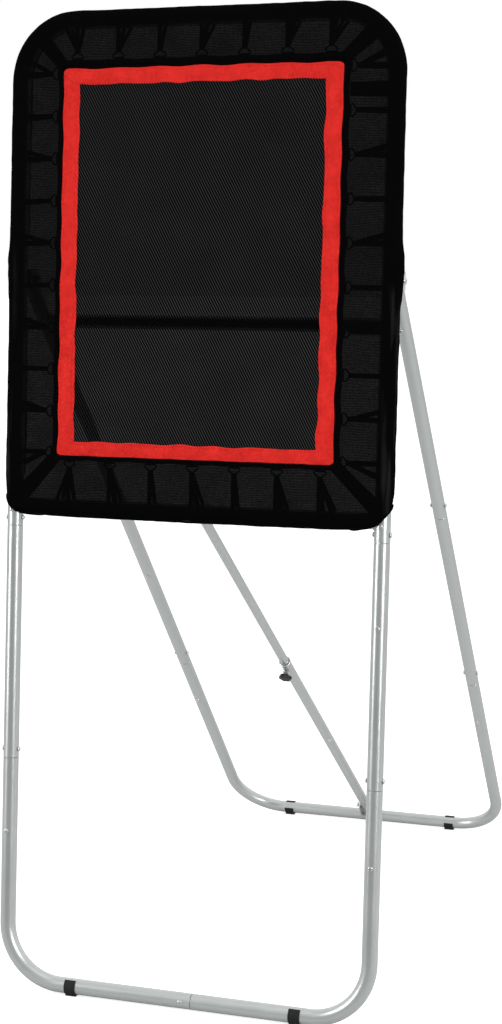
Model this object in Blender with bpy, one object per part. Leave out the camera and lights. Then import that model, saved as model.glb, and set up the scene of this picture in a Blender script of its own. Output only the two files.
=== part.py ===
"""Pitching target net: a steel easel frame with a sprung target mat, a folding rear
frame and a telescoping strut that holds the two apart.

Metres, +Z up. The target faces -Y. X = 0 is the middle of the stand, Y = 0 is halfway
between the two floor tubes and Z = 0 is the floor.

Each assembly is built in its own frame, held by an empty: the front frame stands on its
floor tube, the rear frame hangs from its two pivots, and the strut starts at its foot
bolt. In every such frame X runs across, Z runs up along the tubes and Y points to the
back, square to the plane of the tubes.
"""
import math

import bpy
import bmesh
from mathutils import Matrix, Vector

# ---------------------------------------------------------------- driving dimensions
GAP = 0.0003                 # clearance between touching pieces

FRONT_R = 0.0135             # tube of the front frame, 27 mm outside
REAR_R = 0.0122              # and of the rear frame, 24.4 mm outside
TUBE_WALL = 0.0015
FLOOR_Z = 0.0157             # centre of both floor tubes above the floor
HALF_WIDTH = 0.3275          # upright centre line from the middle
FOOT_BEND_R = 0.101          # bend radius of the front floor corners, centre line
REAR_BEND_R = 0.102          # and of the rear ones
TOP_BEND_R = 0.098           # bend radius of the top corners, centre line

FRONT_LEAN = math.radians(4.5)
FRAME_TOP = 1.649            # top tube, measured along the front frame
RAIL_UP = 0.830              # bottom rail of the target
FRONT_SEAMS = (0.390, 0.795)     # where the leg tubes butt
FLOOR_SEAM_X = 0.0185            # and the two halves of the front floor tube
FRONT_BOLT_UP = (0.405, 0.808)   # bolts through the sleeves

REAR_LEAN = math.radians(40.8)
PIVOT_UP = 1.220             # rear frame pivot, measured along the front frame
PIVOT_BACK = 0.0325          # and behind it
REAR_HALF_TOP = 0.3275
REAR_HALF_FOOT = 0.300
REAR_SEAMS = (0.531, 1.032)      # measured up the rear leg from its floor tube
REAR_BOLT_UP = (0.557, 1.058)
CROSSBAR_DOWN = 0.100        # rear crossbar below the pivot
LEG_END = 0.008              # rear leg tube past its pivot

SLEEVE_PLAY = 0.0004         # from a joining sleeve to the tube around it
SLEEVE_WALL = 0.0012
SLEEVE_BELOW = 0.145         # reach of a leg sleeve below its seam
SLEEVE_ABOVE = 0.045
FLOOR_SLEEVE_HALF = 0.060

STRUT_TOP_UP = 0.8275        # strut's upper pivot on the front frame
STRUT_TOP_BACK = 0.0340
STRUT_FOOT_OFF = 0.0370      # strut's lower pivot from the rear floor tube
STRUT_OUTER_R = 0.0103
STRUT_INNER_R = 0.0085
STRUT_WALL = 0.0012
STRUT_SHOWN = 0.579          # inner tube showing above the outer tube
STRUT_INSERT = 0.300         # inner tube hidden in the outer tube
KNOB_BELOW = 0.0225          # clamp knob below the outer tube's end

MAT_HALF = 0.2457            # target mat
MAT_BOTTOM, MAT_TOP = 0.9173, 1.5727
MAT_OFF = -0.0120            # mat's middle plane, in front of the tubes' plane
MAT_THICK = 0.0015
BORDER_HALF_OUT, BORDER_HALF_IN = 0.2455, 0.2160
BORDER_BOTTOM_OUT, BORDER_BOTTOM_IN = 0.9175, 0.9415
BORDER_TOP_IN, BORDER_TOP_OUT = 1.5410, 1.5680
BORDER_THICK = 0.0010
BINDING_HALF = 0.2560        # webbing around the mat's edge
BINDING_BOTTOM, BINDING_TOP = 0.9090, 1.5830
BINDING_THICK = 0.0030

COVER_R_IN = 0.0155          # mesh cover around the tubes
COVER_THICK = 0.0010
COVER_FOOT_R = 0.045         # bend of its lower corners
COVER_PIVOT_RAMP = (0.020, 0.045)    # from the pivot to where it wraps fully
COVER_STRUT_RAMP = (0.020, 0.045)    # from the middle of the rail, likewise

STRAP_W = 0.011
STRAP_THICK = 0.0010
BAND_IN = 0.0003 - STRAP_W   # inner edge of the elastic along a tube, from its centre
TOP_STRAPS, SIDE_STRAPS = 7, 10
TOP_STRAP_PITCH, SIDE_STRAP_PITCH = 0.0742, 0.0709
TOP_BAND_HALF, SIDE_BAND_HALF = 0.228, 0.3246    # half length of the band on a tube
SIDE_STRAPS_DOWN = 0.0045    # middle of the side straps below the mat's

SIDES = 16                   # facets around a tube
SLEEVE_SIDES = 10
BEND_STEPS = 7

CLIP_HALF = 0.010            # half width of a foot clip
CLIP_THICK = 0.0020

PLATE = 0.0020               # bracket plate
PLAY = 0.0006                # from a turning tube to its bracket's cheeks
PIVOT_CHEEK = (0.011, 0.030)         # reach behind the bolt, and height, of a bracket
STRUT_TOP_CHEEK = (0.010, 0.030)
STRUT_FOOT_CHEEK = (0.008, 0.026)
PIVOT_BOLT_R = 0.0040
STRUT_BOLT_R = 0.0030
SEAM_BOLT_R = 0.0025
STUD_R = 0.0029              # clamp screw

# ---------------------------------------------------------------- derived places
PIVOT_Z = FLOOR_Z + PIVOT_UP * math.cos(FRONT_LEAN) - PIVOT_BACK * math.sin(FRONT_LEAN)
PIVOT_RUN = PIVOT_UP * math.sin(FRONT_LEAN) + PIVOT_BACK * math.cos(FRONT_LEAN)
REAR_LENGTH = (PIVOT_Z - FLOOR_Z) / math.cos(REAR_LEAN)
FLOOR_SPREAD = PIVOT_RUN + REAR_LENGTH * math.sin(REAR_LEAN)
MAT_MIDDLE = (BINDING_BOTTOM + BINDING_TOP) / 2
COVER_LOW_RAMP = (RAIL_UP + COVER_FOOT_R, RAIL_UP + COVER_FOOT_R + 0.050)
COVER_END_RAMP = (HALF_WIDTH - COVER_FOOT_R - 0.050, HALF_WIDTH - COVER_FOOT_R)


# ---------------------------------------------------------------- scene helpers
def clear_scene():
    for item in list(bpy.data.objects):
        bpy.data.objects.remove(item, do_unlink=True)


def material(name, colour, roughness, metallic=0.0):
    mat = bpy.data.materials.new(name)
    mat.use_nodes = True
    shader = mat.node_tree.nodes["Principled BSDF"]
    shader.inputs["Base Color"].default_value = (*colour, 1.0)
    shader.inputs["Roughness"].default_value = roughness
    shader.inputs["Metallic"].default_value = metallic
    return mat


def axis_empty(name, place, tilt, parent=None):
    """An assembly's own frame: at place, tilted about X."""
    empty = bpy.data.objects.new(name, None)
    bpy.context.scene.collection.objects.link(empty)
    empty.location = place
    empty.rotation_euler = (tilt, 0.0, 0.0)
    empty.parent = parent
    return empty


def add_object(name, mesh_data, mat, parent, place=(0, 0, 0), turn=(0, 0, 0)):
    mesh = bpy.data.meshes.new(name)
    mesh_data.to_mesh(mesh)
    mesh_data.free()
    mesh.shade_smooth()
    mesh.set_sharp_from_angle(angle=math.radians(40))
    if mat is not None:
        mesh.materials.append(mat)
    item = bpy.data.objects.new(name, mesh)
    bpy.context.scene.collection.objects.link(item)
    item.location = place
    item.rotation_euler = turn
    item.parent = parent
    return item


def drill(item, cutter):
    cut = item.modifiers.new("Hole " + cutter.name, "BOOLEAN")
    cut.operation = "DIFFERENCE"
    cut.solver = "EXACT"
    cut.object = cutter


def hole_cutter(name, radius, length, parent, place, turn):
    """A hidden cylinder along its own Z, for a drilled hole."""
    data = bmesh.new()
    bmesh.ops.create_cone(data, cap_ends=True, segments=10, radius1=radius,
                          radius2=radius, depth=length)
    cutter = add_object(name, data, None, parent, place, turn)
    cutter.hide_render = True
    cutter.display_type = "WIRE"
    return cutter


# ---------------------------------------------------------------- shape helpers
def rounded_corner(before, corner, after, radius, steps):
    """Points of the arc that rounds a corner of a 2-D line."""
    corner = Vector(corner)
    to_before = (Vector(before) - corner).normalized()
    to_after = (Vector(after) - corner).normalized()
    half = to_before.angle(to_after) / 2
    centre = corner + (to_before + to_after).normalized() * radius / math.sin(half)
    start = corner + to_before * radius / math.tan(half) - centre
    end = corner + to_after * radius / math.tan(half) - centre
    sweep = start.angle(end)
    points = []
    for step in range(steps + 1):
        share = step / steps
        point = (start * math.sin((1 - share) * sweep) + end * math.sin(share * sweep))
        points.append(centre + point / math.sin(sweep))
    return points


def rounded_line(corners, radius, steps):
    """An open line through corners, each inner corner rounded."""
    points = [Vector(corners[0])]
    for before, corner, after in zip(corners, corners[1:], corners[2:]):
        points += rounded_corner(before, corner, after, radius, steps)
    points.append(Vector(corners[-1]))
    return points


def square_cut(across, depth):
    return 0.0


def tube_mesh(line, outer, wall, start_cut=square_cut, end_cut=square_cut, sides=SIDES):
    """A hollow tube along a line in the XZ plane. A cut moves an end's vertices along
    the tube, from their distance across it (in the plane) and their depth in Y."""
    data = bmesh.new()
    walls = []
    for radius in (outer, outer - wall):
        rings = []
        for index, point in enumerate(line):
            back = line[max(index - 1, 0)]
            ahead = line[min(index + 1, len(line) - 1)]
            along = (ahead - back).normalized()
            across = Vector((along.y, -along.x))
            ring = []
            for side in range(sides):
                angle = 2 * math.pi * (side + 0.5) / sides
                out = radius * math.cos(angle)
                depth = radius * math.sin(angle)
                extra = 0.0
                if index == 0:
                    extra = -start_cut(out, depth)
                elif index == len(line) - 1:
                    extra = end_cut(out, depth)
                spot = point + across * out + along * extra
                ring.append(data.verts.new((spot.x, depth, spot.y)))
            rings.append(ring)
        walls.append(rings)
    bridge_walls(data, walls[0], walls[1])
    return data


def bridge_walls(data, outer_rings, inner_rings):
    """Join two sets of rings into one hollow skin, open at both ends."""
    count = len(outer_rings[0])
    loop = outer_rings + inner_rings[::-1]
    for ring, following in zip(loop, loop[1:] + loop[:1]):
        for side in range(count):
            after = (side + 1) % count
            data.faces.new((ring[side], ring[after], following[after], following[side]))
    bmesh.ops.recalc_face_normals(data, faces=data.faces)


def round_section(angle):
    return 1.0


def hex_section(angle):
    """Radius of a hexagon whose corners lie at 1."""
    within = angle % (math.pi / 3) - math.pi / 6
    return math.cos(math.pi / 6) / math.cos(within)


def turned_mesh(profile, sides=12, hollow=False):
    """Rings (height, radius, section) along Z. A solid one is capped at both ends; a
    hollow one runs back down its bore to the first ring."""
    data = bmesh.new()
    rings = []
    for height, radius, section in profile:
        ring = []
        for side in range(sides):
            angle = 2 * math.pi * side / sides
            reach = radius * section(angle)
            spot = (reach * math.cos(angle), reach * math.sin(angle), height)
            ring.append(data.verts.new(spot))
        rings.append(ring)
    pairs = list(zip(rings, rings[1:]))
    if hollow:
        pairs.append((rings[-1], rings[0]))
    for ring, following in pairs:
        for side in range(sides):
            after = (side + 1) % sides
            data.faces.new((ring[side], ring[after], following[after], following[side]))
    if not hollow:
        data.faces.new(rings[0][::-1])
        data.faces.new(rings[-1])
    bmesh.ops.recalc_face_normals(data, faces=data.faces)
    return data


def plate_mesh(outline, low, high):
    """A flat outline in the XZ plane, thick from low to high in Y."""
    data = bmesh.new()
    face = data.faces.new([data.verts.new((x, low, z)) for x, z in outline])
    grown = bmesh.ops.extrude_face_region(data, geom=[face])
    new_verts = [part for part in grown["geom"] if isinstance(part, bmesh.types.BMVert)]
    bmesh.ops.translate(data, verts=new_verts, vec=(0, high - low, 0))
    bmesh.ops.recalc_face_normals(data, faces=data.faces)
    return data


def frame_mesh(outer, inner, low, high):
    """A flat rectangular ring in the XZ plane; each rectangle is (x0, z0, x1, z1)."""
    data = bmesh.new()
    rings = []
    for (x0, z0, x1, z1), depth in ((outer, low), (inner, low), (inner, high), (outer, high)):
        corners = ((x0, z0), (x1, z0), (x1, z1), (x0, z1))
        rings.append([data.verts.new((x, depth, z)) for x, z in corners])
    for ring, following in zip(rings, rings[1:] + rings[:1]):
        for side in range(4):
            after = (side + 1) % 4
            data.faces.new((ring[side], ring[after], following[after], following[side]))
    bmesh.ops.recalc_face_normals(data, faces=data.faces)
    return data


def channel_mesh(half_gap, web_low, back, height):
    """A U bracket: a web square to Y at web_low, and two cheeks that reach back."""
    outer = half_gap + PLATE
    web_high = web_low + PLATE
    outline = ((-outer, web_low), (outer, web_low), (outer, back), (half_gap, back),
               (half_gap, web_high), (-half_gap, web_high), (-half_gap, back), (-outer, back))
    data = bmesh.new()
    face = data.faces.new([data.verts.new((x, y, -height / 2)) for x, y in outline])
    grown = bmesh.ops.extrude_face_region(data, geom=[face])
    new_verts = [part for part in grown["geom"] if isinstance(part, bmesh.types.BMVert)]
    bmesh.ops.translate(data, verts=new_verts, vec=(0, 0, height))
    bmesh.ops.recalc_face_normals(data, faces=data.faces)
    return data


def straight(x0, z0, x1, z1):
    return [Vector((x0, z0)), Vector((x1, z1))]


def coped(other_radius):
    """End cut of a tube that meets another tube square on, clear of its facets."""
    def cut(across, depth):
        return -math.sqrt((other_radius + 2 * GAP) ** 2 - min(depth ** 2, other_radius ** 2))
    return cut


def rounded_end(radius):
    """End cut of a strut tube, round about its pivot bolt."""
    def cut(across, depth):
        return math.sqrt(max(radius ** 2 - depth ** 2, 0.0))
    return cut


# ---------------------------------------------------------------- fasteners
ALONG_X = (0.0, math.pi / 2, 0.0)


def bolt_profile(shank_r, head_r, grip, nut=True):
    """A pan head at the bottom, a shank of length grip and, if asked, a hex nut with its
    thread end."""
    head = head_r * 0.55
    profile = [(-head, head_r * 0.55, round_section), (-head * 0.75, head_r * 0.85, round_section),
               (-head * 0.3, head_r, round_section), (0.0, head_r, round_section),
               (0.0, shank_r, round_section)]
    if nut:
        nut_r = head_r * 1.05
        thick = shank_r * 1.6
        profile += [(grip, shank_r, round_section), (grip, nut_r, hex_section),
                    (grip + thick, nut_r, hex_section), (grip + thick, shank_r, round_section),
                    (grip + thick + shank_r, shank_r, round_section)]
    else:
        profile += [(grip, shank_r, round_section)]
    return profile


def cross_bolt(name, mat, parent, side, centre_x, z, half_grip, profile):
    """A bolt through a tube along X, its head on the outer side (side is -1 or +1)."""
    turn = (0.0, -side * math.pi / 2, 0.0)
    place = (centre_x + side * half_grip, 0.0, z)
    return add_object(name, turned_mesh(profile), mat, parent, place, turn)


def seam_bolt(name, mat, parent, side, centre_x, z, tube_r):
    """A bolt through a seam's sleeve, with a pan head at one end and a low cap nut at the
    other."""
    grip = 2 * (tube_r + GAP)
    profile = bolt_profile(SEAM_BOLT_R, 0.0044, grip, nut=False)
    profile += [(grip, 0.0042, round_section), (grip + 0.0014, 0.0042, round_section),
                (grip + 0.0026, 0.0032, round_section), (grip + 0.0030, 0.0016, round_section)]
    return cross_bolt(name, mat, parent, side, centre_x, z, tube_r + GAP, profile)


# ---------------------------------------------------------------- front frame
def front_tubes(axes, steel):
    top_line = rounded_line(((-HALF_WIDTH, FRONT_SEAMS[1] + GAP), (-HALF_WIDTH, FRAME_TOP),
                             (HALF_WIDTH, FRAME_TOP), (HALF_WIDTH, FRONT_SEAMS[1] + GAP)),
                            TOP_BEND_R, BEND_STEPS)
    tubes = {"target_frame_tube": add_object(
        "target_frame_tube", tube_mesh(top_line, FRONT_R, TUBE_WALL), steel, axes)}
    rail = straight(-HALF_WIDTH, RAIL_UP, HALF_WIDTH, RAIL_UP)
    cope = coped(FRONT_R)
    add_object("bottom_rail", tube_mesh(rail, FRONT_R, TUBE_WALL, cope, cope), steel, axes)
    for label, side in (("left", -1), ("right", 1)):
        x = side * HALF_WIDTH
        name = "front_mid_leg_" + label
        leg = straight(x, FRONT_SEAMS[0] + GAP, x, FRONT_SEAMS[1] - GAP)
        tubes[name] = add_object(name, tube_mesh(leg, FRONT_R, TUBE_WALL), steel, axes)
        name = "front_foot_bend_" + label
        bend = rounded_line(((x, FRONT_SEAMS[0] - GAP), (x, 0.0), (FLOOR_SEAM_X + side * GAP, 0.0)),
                            FOOT_BEND_R, BEND_STEPS)
        tubes[name] = add_object(name, tube_mesh(bend, FRONT_R, TUBE_WALL), steel, axes)
    return tubes


def sleeve(name, parent, steel, line, tube_r):
    """A short tube that joins two others from the inside."""
    data = tube_mesh(line, tube_r - TUBE_WALL - SLEEVE_PLAY, SLEEVE_WALL, sides=SLEEVE_SIDES)
    return add_object(name, data, steel, parent)


def leg_sleeve(name, parent, steel, x, seam, tube_r, slope=0.0):
    low, high = seam - SLEEVE_BELOW, seam + SLEEVE_ABOVE
    line = straight(x - slope * SLEEVE_BELOW, low, x + slope * SLEEVE_ABOVE, high)
    return sleeve(name, parent, steel, line, tube_r)


def floor_sleeve(name, parent, steel, seam_x, z, tube_r):
    line = straight(seam_x - FLOOR_SLEEVE_HALF, z, seam_x + FLOOR_SLEEVE_HALF, z)
    return sleeve(name, parent, steel, line, tube_r)


def front_joints(axes, tubes, steel, zinc):
    """Sleeves inside the front tubes, and the bolts that pin them."""
    uppers = {"upper": ("target_frame_tube", "target_frame_tube"),
              "lower": ("front_mid_leg_left", "front_mid_leg_right")}
    for level, seam, bolt_up in zip(("lower", "upper"), FRONT_SEAMS, FRONT_BOLT_UP):
        for side_index, (label, side) in enumerate((("left", -1), ("right", 1))):
            x = side * HALF_WIDTH
            joiner = leg_sleeve(f"front_{level}_sleeve_{label}", axes, steel, x, seam, FRONT_R)
            hole = hole_cutter(f"front_{level}_hole_{label}", SEAM_BOLT_R + GAP, 0.05, axes,
                               (x, 0, bolt_up), ALONG_X)
            drill(joiner, hole)
            drill(tubes[uppers[level][side_index]], hole)
            seam_bolt(f"front_{level}_bolt_{label}", zinc, axes, side, x, bolt_up, FRONT_R)
    floor_sleeve("front_floor_sleeve", axes, steel, FLOOR_SEAM_X, 0.0, FRONT_R)


def pivot_brackets(axes, steel):
    """U brackets on the backs of the uprights, which hold the rear legs."""
    reach, height = PIVOT_CHEEK
    for label, side in (("left", -1), ("right", 1)):
        place = (side * HALF_WIDTH, 0, PIVOT_UP)
        bracket = add_object("pivot_bracket_" + label,
                             channel_mesh(REAR_R + PLAY, FRONT_R + GAP, PIVOT_BACK + reach, height),
                             steel, axes, place)
        hole = hole_cutter("pivot_hole_" + label, PIVOT_BOLT_R + GAP, 0.05, axes,
                           (place[0], PIVOT_BACK, PIVOT_UP), ALONG_X)
        drill(bracket, hole)


def strut_top(axes, steel, zinc):
    """The strut's upper bracket. Its bolt is open between the cheeks, where the strut
    end passes, so only the head end and the nut end are solid."""
    half_gap = STRUT_INNER_R + PLAY
    reach, height = STRUT_TOP_CHEEK
    bracket = add_object("strut_top_bracket",
                         channel_mesh(half_gap, FRONT_R + GAP, STRUT_TOP_BACK + reach, height),
                         steel, axes, (0, 0, STRUT_TOP_UP))
    hole = hole_cutter("strut_top_hole", STRUT_BOLT_R + GAP, 0.05, axes,
                       (0, STRUT_TOP_BACK, STRUT_TOP_UP), ALONG_X)
    drill(bracket, hole)
    outside = half_gap + PLATE + GAP
    head = bolt_profile(STRUT_BOLT_R, 0.0055, PLATE, nut=False)
    add_object("strut_top_bolt", turned_mesh(head), zinc, axes,
               (outside, STRUT_TOP_BACK, STRUT_TOP_UP), (0, -math.pi / 2, 0))
    nut = [(-PLATE, STRUT_BOLT_R, round_section), (0.0, STRUT_BOLT_R, round_section),
           (0.0, 0.0056, hex_section), (0.0050, 0.0056, hex_section),
           (0.0050, STRUT_BOLT_R, round_section), (0.0080, STRUT_BOLT_R, round_section)]
    add_object("strut_top_nut", turned_mesh(nut), zinc, axes,
               (-outside, STRUT_TOP_BACK, STRUT_TOP_UP), (0, -math.pi / 2, 0))


# ---------------------------------------------------------------- foot clips
def clip_profile(outward, tube_r, start, end):
    """Cross-section of a snap-on rubber foot in the YZ plane, about the tube's centre.
    It wraps from start, on the inner side, round the bottom and the outer side to end;
    outward is -1 for the front clips and +1 for the rear ones."""
    inner_r, outer_r = tube_r + GAP, tube_r + CLIP_THICK
    start, end, pad = math.radians(start), math.radians(end), math.radians(30)
    steps = 24
    inner, outer = [], []
    for step in range(steps + 1):
        angle = start + (end - start) * step / steps
        reach = outer_r
        if abs(angle) < pad:
            reach = FLOOR_Z / math.cos(angle)
        across, down = outward * math.sin(angle), -math.cos(angle)
        inner.append((inner_r * across, inner_r * down))
        outer.append((reach * across, reach * down))
    return outer + inner[::-1]


def foot_clips(rubber):
    """Four clips, upright in world space, whose flat pads carry the stand."""
    sites = (("front_foot_clip", -1, 0.203, (FRONT_R, -100, 152)),
             ("rear_foot_clip", 1, 0.185, (REAR_R, -112, 192)))
    for base, outward, x, wrap in sites:
        for label, side in (("left", -1), ("right", 1)):
            data = bmesh.new()
            ring = [data.verts.new((-CLIP_HALF, y, z)) for y, z in clip_profile(outward, *wrap)]
            face = data.faces.new(ring)
            grown = bmesh.ops.extrude_face_region(data, geom=[face])
            moved = [part for part in grown["geom"] if isinstance(part, bmesh.types.BMVert)]
            bmesh.ops.translate(data, verts=moved, vec=(2 * CLIP_HALF, 0, 0))
            bmesh.ops.recalc_face_normals(data, faces=data.faces)
            add_object(f"{base}_{label}", data, rubber, None,
                       (side * x, outward * FLOOR_SPREAD / 2, FLOOR_Z))


# ---------------------------------------------------------------- rear frame
def rear_x(up):
    """Half width of the rear frame at a height up its leg from the floor tube."""
    return REAR_HALF_FOOT + (REAR_HALF_TOP - REAR_HALF_FOOT) * up / REAR_LENGTH


def rear_frame(axes, steel, zinc):
    """Rear frame, hung from its pivots: up the leg is Z, and the floor tube lies at
    -REAR_LENGTH."""
    slope = (REAR_HALF_TOP - REAR_HALF_FOOT) / REAR_LENGTH
    low_seam, high_seam = REAR_SEAMS
    for label, side in (("left", -1), ("right", 1)):
        def spot(up):
            return (side * rear_x(up), up - REAR_LENGTH)
        top = (side * (REAR_HALF_TOP + slope * LEG_END), LEG_END)
        tubes = {}
        lines = {"rear_upper_leg_": [Vector(spot(high_seam + GAP)), Vector(top)],
                 "rear_mid_leg_": [Vector(spot(low_seam + GAP)), Vector(spot(high_seam - GAP))],
                 "rear_foot_bend_": rounded_line((spot(low_seam - GAP), spot(0.0),
                                                  (side * GAP, -REAR_LENGTH)),
                                                 REAR_BEND_R, BEND_STEPS)}
        for base, line in lines.items():
            tubes[base] = add_object(base + label, tube_mesh(line, REAR_R, TUBE_WALL), steel, axes)
        pivot_hole = hole_cutter("rear_pivot_hole_" + label, PIVOT_BOLT_R + GAP, 0.05, axes,
                                 (side * REAR_HALF_TOP, 0, 0), ALONG_X)
        drill(tubes["rear_upper_leg_"], pivot_hole)
        bolted = {"lower": tubes["rear_mid_leg_"], "upper": tubes["rear_upper_leg_"]}
        for level, seam, bolt_up in zip(("lower", "upper"), REAR_SEAMS, REAR_BOLT_UP):
            joiner = leg_sleeve(f"rear_{level}_sleeve_{label}", axes, steel,
                                side * rear_x(seam), seam - REAR_LENGTH, REAR_R, side * slope)
            place = (side * rear_x(bolt_up), 0, bolt_up - REAR_LENGTH)
            hole = hole_cutter(f"rear_{level}_hole_{label}", SEAM_BOLT_R + GAP, 0.05, axes,
                               place, ALONG_X)
            drill(joiner, hole)
            drill(bolted[level], hole)
            seam_bolt(f"rear_{level}_bolt_{label}", zinc, axes, side, place[0], place[2], REAR_R)
        pivot_bolt(label, side, axes, zinc)
    floor_sleeve("rear_floor_sleeve", axes, steel, 0.0, -REAR_LENGTH, REAR_R)
    bar_x = rear_x(REAR_LENGTH - CROSSBAR_DOWN) - GAP
    bar = straight(-bar_x, -CROSSBAR_DOWN, bar_x, -CROSSBAR_DOWN)
    cope = coped(REAR_R)
    add_object("rear_crossbar", tube_mesh(bar, REAR_R, TUBE_WALL, cope, cope), steel, axes)


def pivot_bolt(label, side, axes, zinc):
    """Bolt and nut on which one rear leg turns, through both cheeks of its bracket."""
    reach = REAR_R + PLAY + PLATE + GAP
    thread = 0.0085
    data = turned_mesh(bolt_profile(PIVOT_BOLT_R, 0.0070, 2 * reach + thread, nut=False))
    add_object("pivot_bolt_" + label, data, zinc, axes,
               (side * (REAR_HALF_TOP + reach), 0, 0), (0, -side * math.pi / 2, 0))
    bore = PIVOT_BOLT_R + GAP
    nut = [(GAP, 0.0072, hex_section), (0.0062, 0.0072, hex_section),
           (0.0062, bore, round_section), (GAP, bore, round_section)]
    add_object("pivot_nut_" + label, turned_mesh(nut, hollow=True), zinc, axes,
               (side * (REAR_HALF_TOP - reach), 0, 0), (0, -side * math.pi / 2, 0))


# ---------------------------------------------------------------- strut
def strut_foot(axes, steel, zinc):
    """Bracket on the rear floor tube, with the strut's lower pivot bolt."""
    half_gap = STRUT_OUTER_R + PLAY
    reach, height = STRUT_FOOT_CHEEK
    z = -REAR_LENGTH
    bracket_turn = (math.pi / 2, 0, 0)
    bracket = add_object("strut_foot_bracket",
                         channel_mesh(half_gap, REAR_R + GAP, STRUT_FOOT_OFF + reach, height),
                         steel, axes, (0, 0, z), bracket_turn)
    hole = hole_cutter("strut_foot_hole", STRUT_BOLT_R + GAP, 0.05, axes,
                       (0, 0, z + STRUT_FOOT_OFF), ALONG_X)
    drill(bracket, hole)
    half_grip = half_gap + PLATE + GAP
    cross_bolt("strut_foot_bolt", zinc, axes, 1, 0.0, z + STRUT_FOOT_OFF, half_grip,
               bolt_profile(STRUT_BOLT_R, 0.0055, 2 * half_grip))


def strut(axes, length, steel, zinc, plastic):
    """Telescoping strut in its own frame: the foot bolt is at Z = 0, the top at length."""
    outer_top = length - STRUT_SHOWN
    outer_line = straight(0, 0, 0, outer_top)
    outer = add_object("strut_outer_tube",
                       tube_mesh(outer_line, STRUT_OUTER_R, STRUT_WALL, rounded_end(STRUT_OUTER_R)),
                       steel, axes)
    foot_hole = hole_cutter("strut_foot_tube_hole", STRUT_BOLT_R + GAP, 0.05, axes,
                            (0, 0, 0), ALONG_X)
    drill(outer, foot_hole)

    slide_axes = axis_empty("strut_slide_axis", (0, 0, length), 0.0, axes)
    inner_line = straight(0, -STRUT_SHOWN - STRUT_INSERT, 0, 0)
    inner = add_object("strut_inner_tube",
                       tube_mesh(inner_line, STRUT_INNER_R, STRUT_WALL,
                                 end_cut=rounded_end(STRUT_INNER_R)), steel, slide_axes)
    top_hole = hole_cutter("strut_top_tube_hole", STRUT_BOLT_R + GAP, 0.05, slide_axes,
                           (0, 0, 0), ALONG_X)
    drill(inner, top_hole)

    bore = STRUT_INNER_R + GAP
    skirt = STRUT_OUTER_R + GAP
    rim = STRUT_OUTER_R + 0.0012
    collar = [(-0.0022, rim, round_section), (0.0012, rim, round_section),
              (0.0020, rim - 0.0006, round_section), (0.0020, bore, round_section),
              (GAP, bore, round_section), (GAP, skirt, round_section),
              (-0.0022, skirt, round_section)]
    add_object("strut_collar", turned_mesh(collar, SIDES, hollow=True), zinc, axes,
               (0, 0, outer_top))
    clamp(axes, outer, outer_top - KNOB_BELOW, zinc, plastic)


def clamp(axes, outer, height, zinc, plastic):
    """Welded nut, threaded stud and lobed knob, square to the strut on its lower side."""
    toward = (math.pi / 2, 0, 0)
    nut_base = STRUT_OUTER_R + GAP
    nut_top = nut_base + 0.0050
    bore = STUD_R + GAP
    nut = [(nut_base, 0.0072, hex_section), (nut_top, 0.0072, hex_section),
           (nut_top, bore, round_section), (nut_base, bore, round_section)]
    add_object("clamp_nut", turned_mesh(nut, hollow=True), zinc, axes, (0, 0, height), toward)
    hole = hole_cutter("clamp_hole", STUD_R + 2 * GAP, 0.02, axes,
                       (0, -STRUT_OUTER_R - 0.002, height), toward)
    drill(outer, hole)

    knob_low = nut_top + 0.0022
    knob_high = knob_low + 0.0100
    socket = knob_low + 0.0065
    stud = [(STRUT_INNER_R + GAP, STUD_R, round_section), (socket - GAP, STUD_R, round_section)]
    knob_axes = axis_empty("clamp_knob_axis", (0, 0, height), 0.0, axes)
    add_object("clamp_stud", turned_mesh(stud), zinc, knob_axes, (0, 0, 0), toward)

    def lobed(angle):
        return 1.0 + 0.11 * math.cos(6 * angle)
    hub_r, knob_r = 0.0065, 0.0118
    knob = [(knob_low, hub_r, round_section), (knob_low + 0.0016, hub_r, round_section),
            (knob_low + 0.0024, knob_r * 0.93, lobed), (knob_low + 0.0038, knob_r, lobed),
            (knob_high - 0.0015, knob_r, lobed), (knob_high, knob_r * 0.88, lobed)]
    data = turned_mesh(knob, 24)
    knob_object = add_object("clamp_knob", data, plastic, knob_axes, (0, 0, 0), toward)
    socket_hole = hole_cutter("knob_socket", STUD_R + GAP, 2 * (socket - knob_low), knob_axes,
                              (0, -knob_low, 0), toward)
    drill(knob_object, socket_hole)


# ---------------------------------------------------------------- target
def target(axes, mesh_black, red, black):
    low = MAT_OFF - MAT_THICK / 2
    high = MAT_OFF + MAT_THICK / 2
    outline = ((-MAT_HALF, MAT_BOTTOM), (MAT_HALF, MAT_BOTTOM), (MAT_HALF, MAT_TOP),
               (-MAT_HALF, MAT_TOP))
    add_object("target_mat", plate_mesh(outline, low, high), mesh_black, axes)
    outer = (-BORDER_HALF_OUT, BORDER_BOTTOM_OUT, BORDER_HALF_OUT, BORDER_TOP_OUT)
    inner = (-BORDER_HALF_IN, BORDER_BOTTOM_IN, BORDER_HALF_IN, BORDER_TOP_IN)
    add_object("strike_zone_border",
               frame_mesh(outer, inner, low - GAP - BORDER_THICK, low - GAP), red, axes)
    outer = (-BINDING_HALF, BINDING_BOTTOM, BINDING_HALF, BINDING_TOP)
    inner = (-MAT_HALF - GAP, MAT_BOTTOM - GAP, MAT_HALF + GAP, MAT_TOP + GAP)
    add_object("mat_binding",
               frame_mesh(outer, inner, MAT_OFF - BINDING_THICK / 2, MAT_OFF + BINDING_THICK / 2),
               black, axes)


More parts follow.
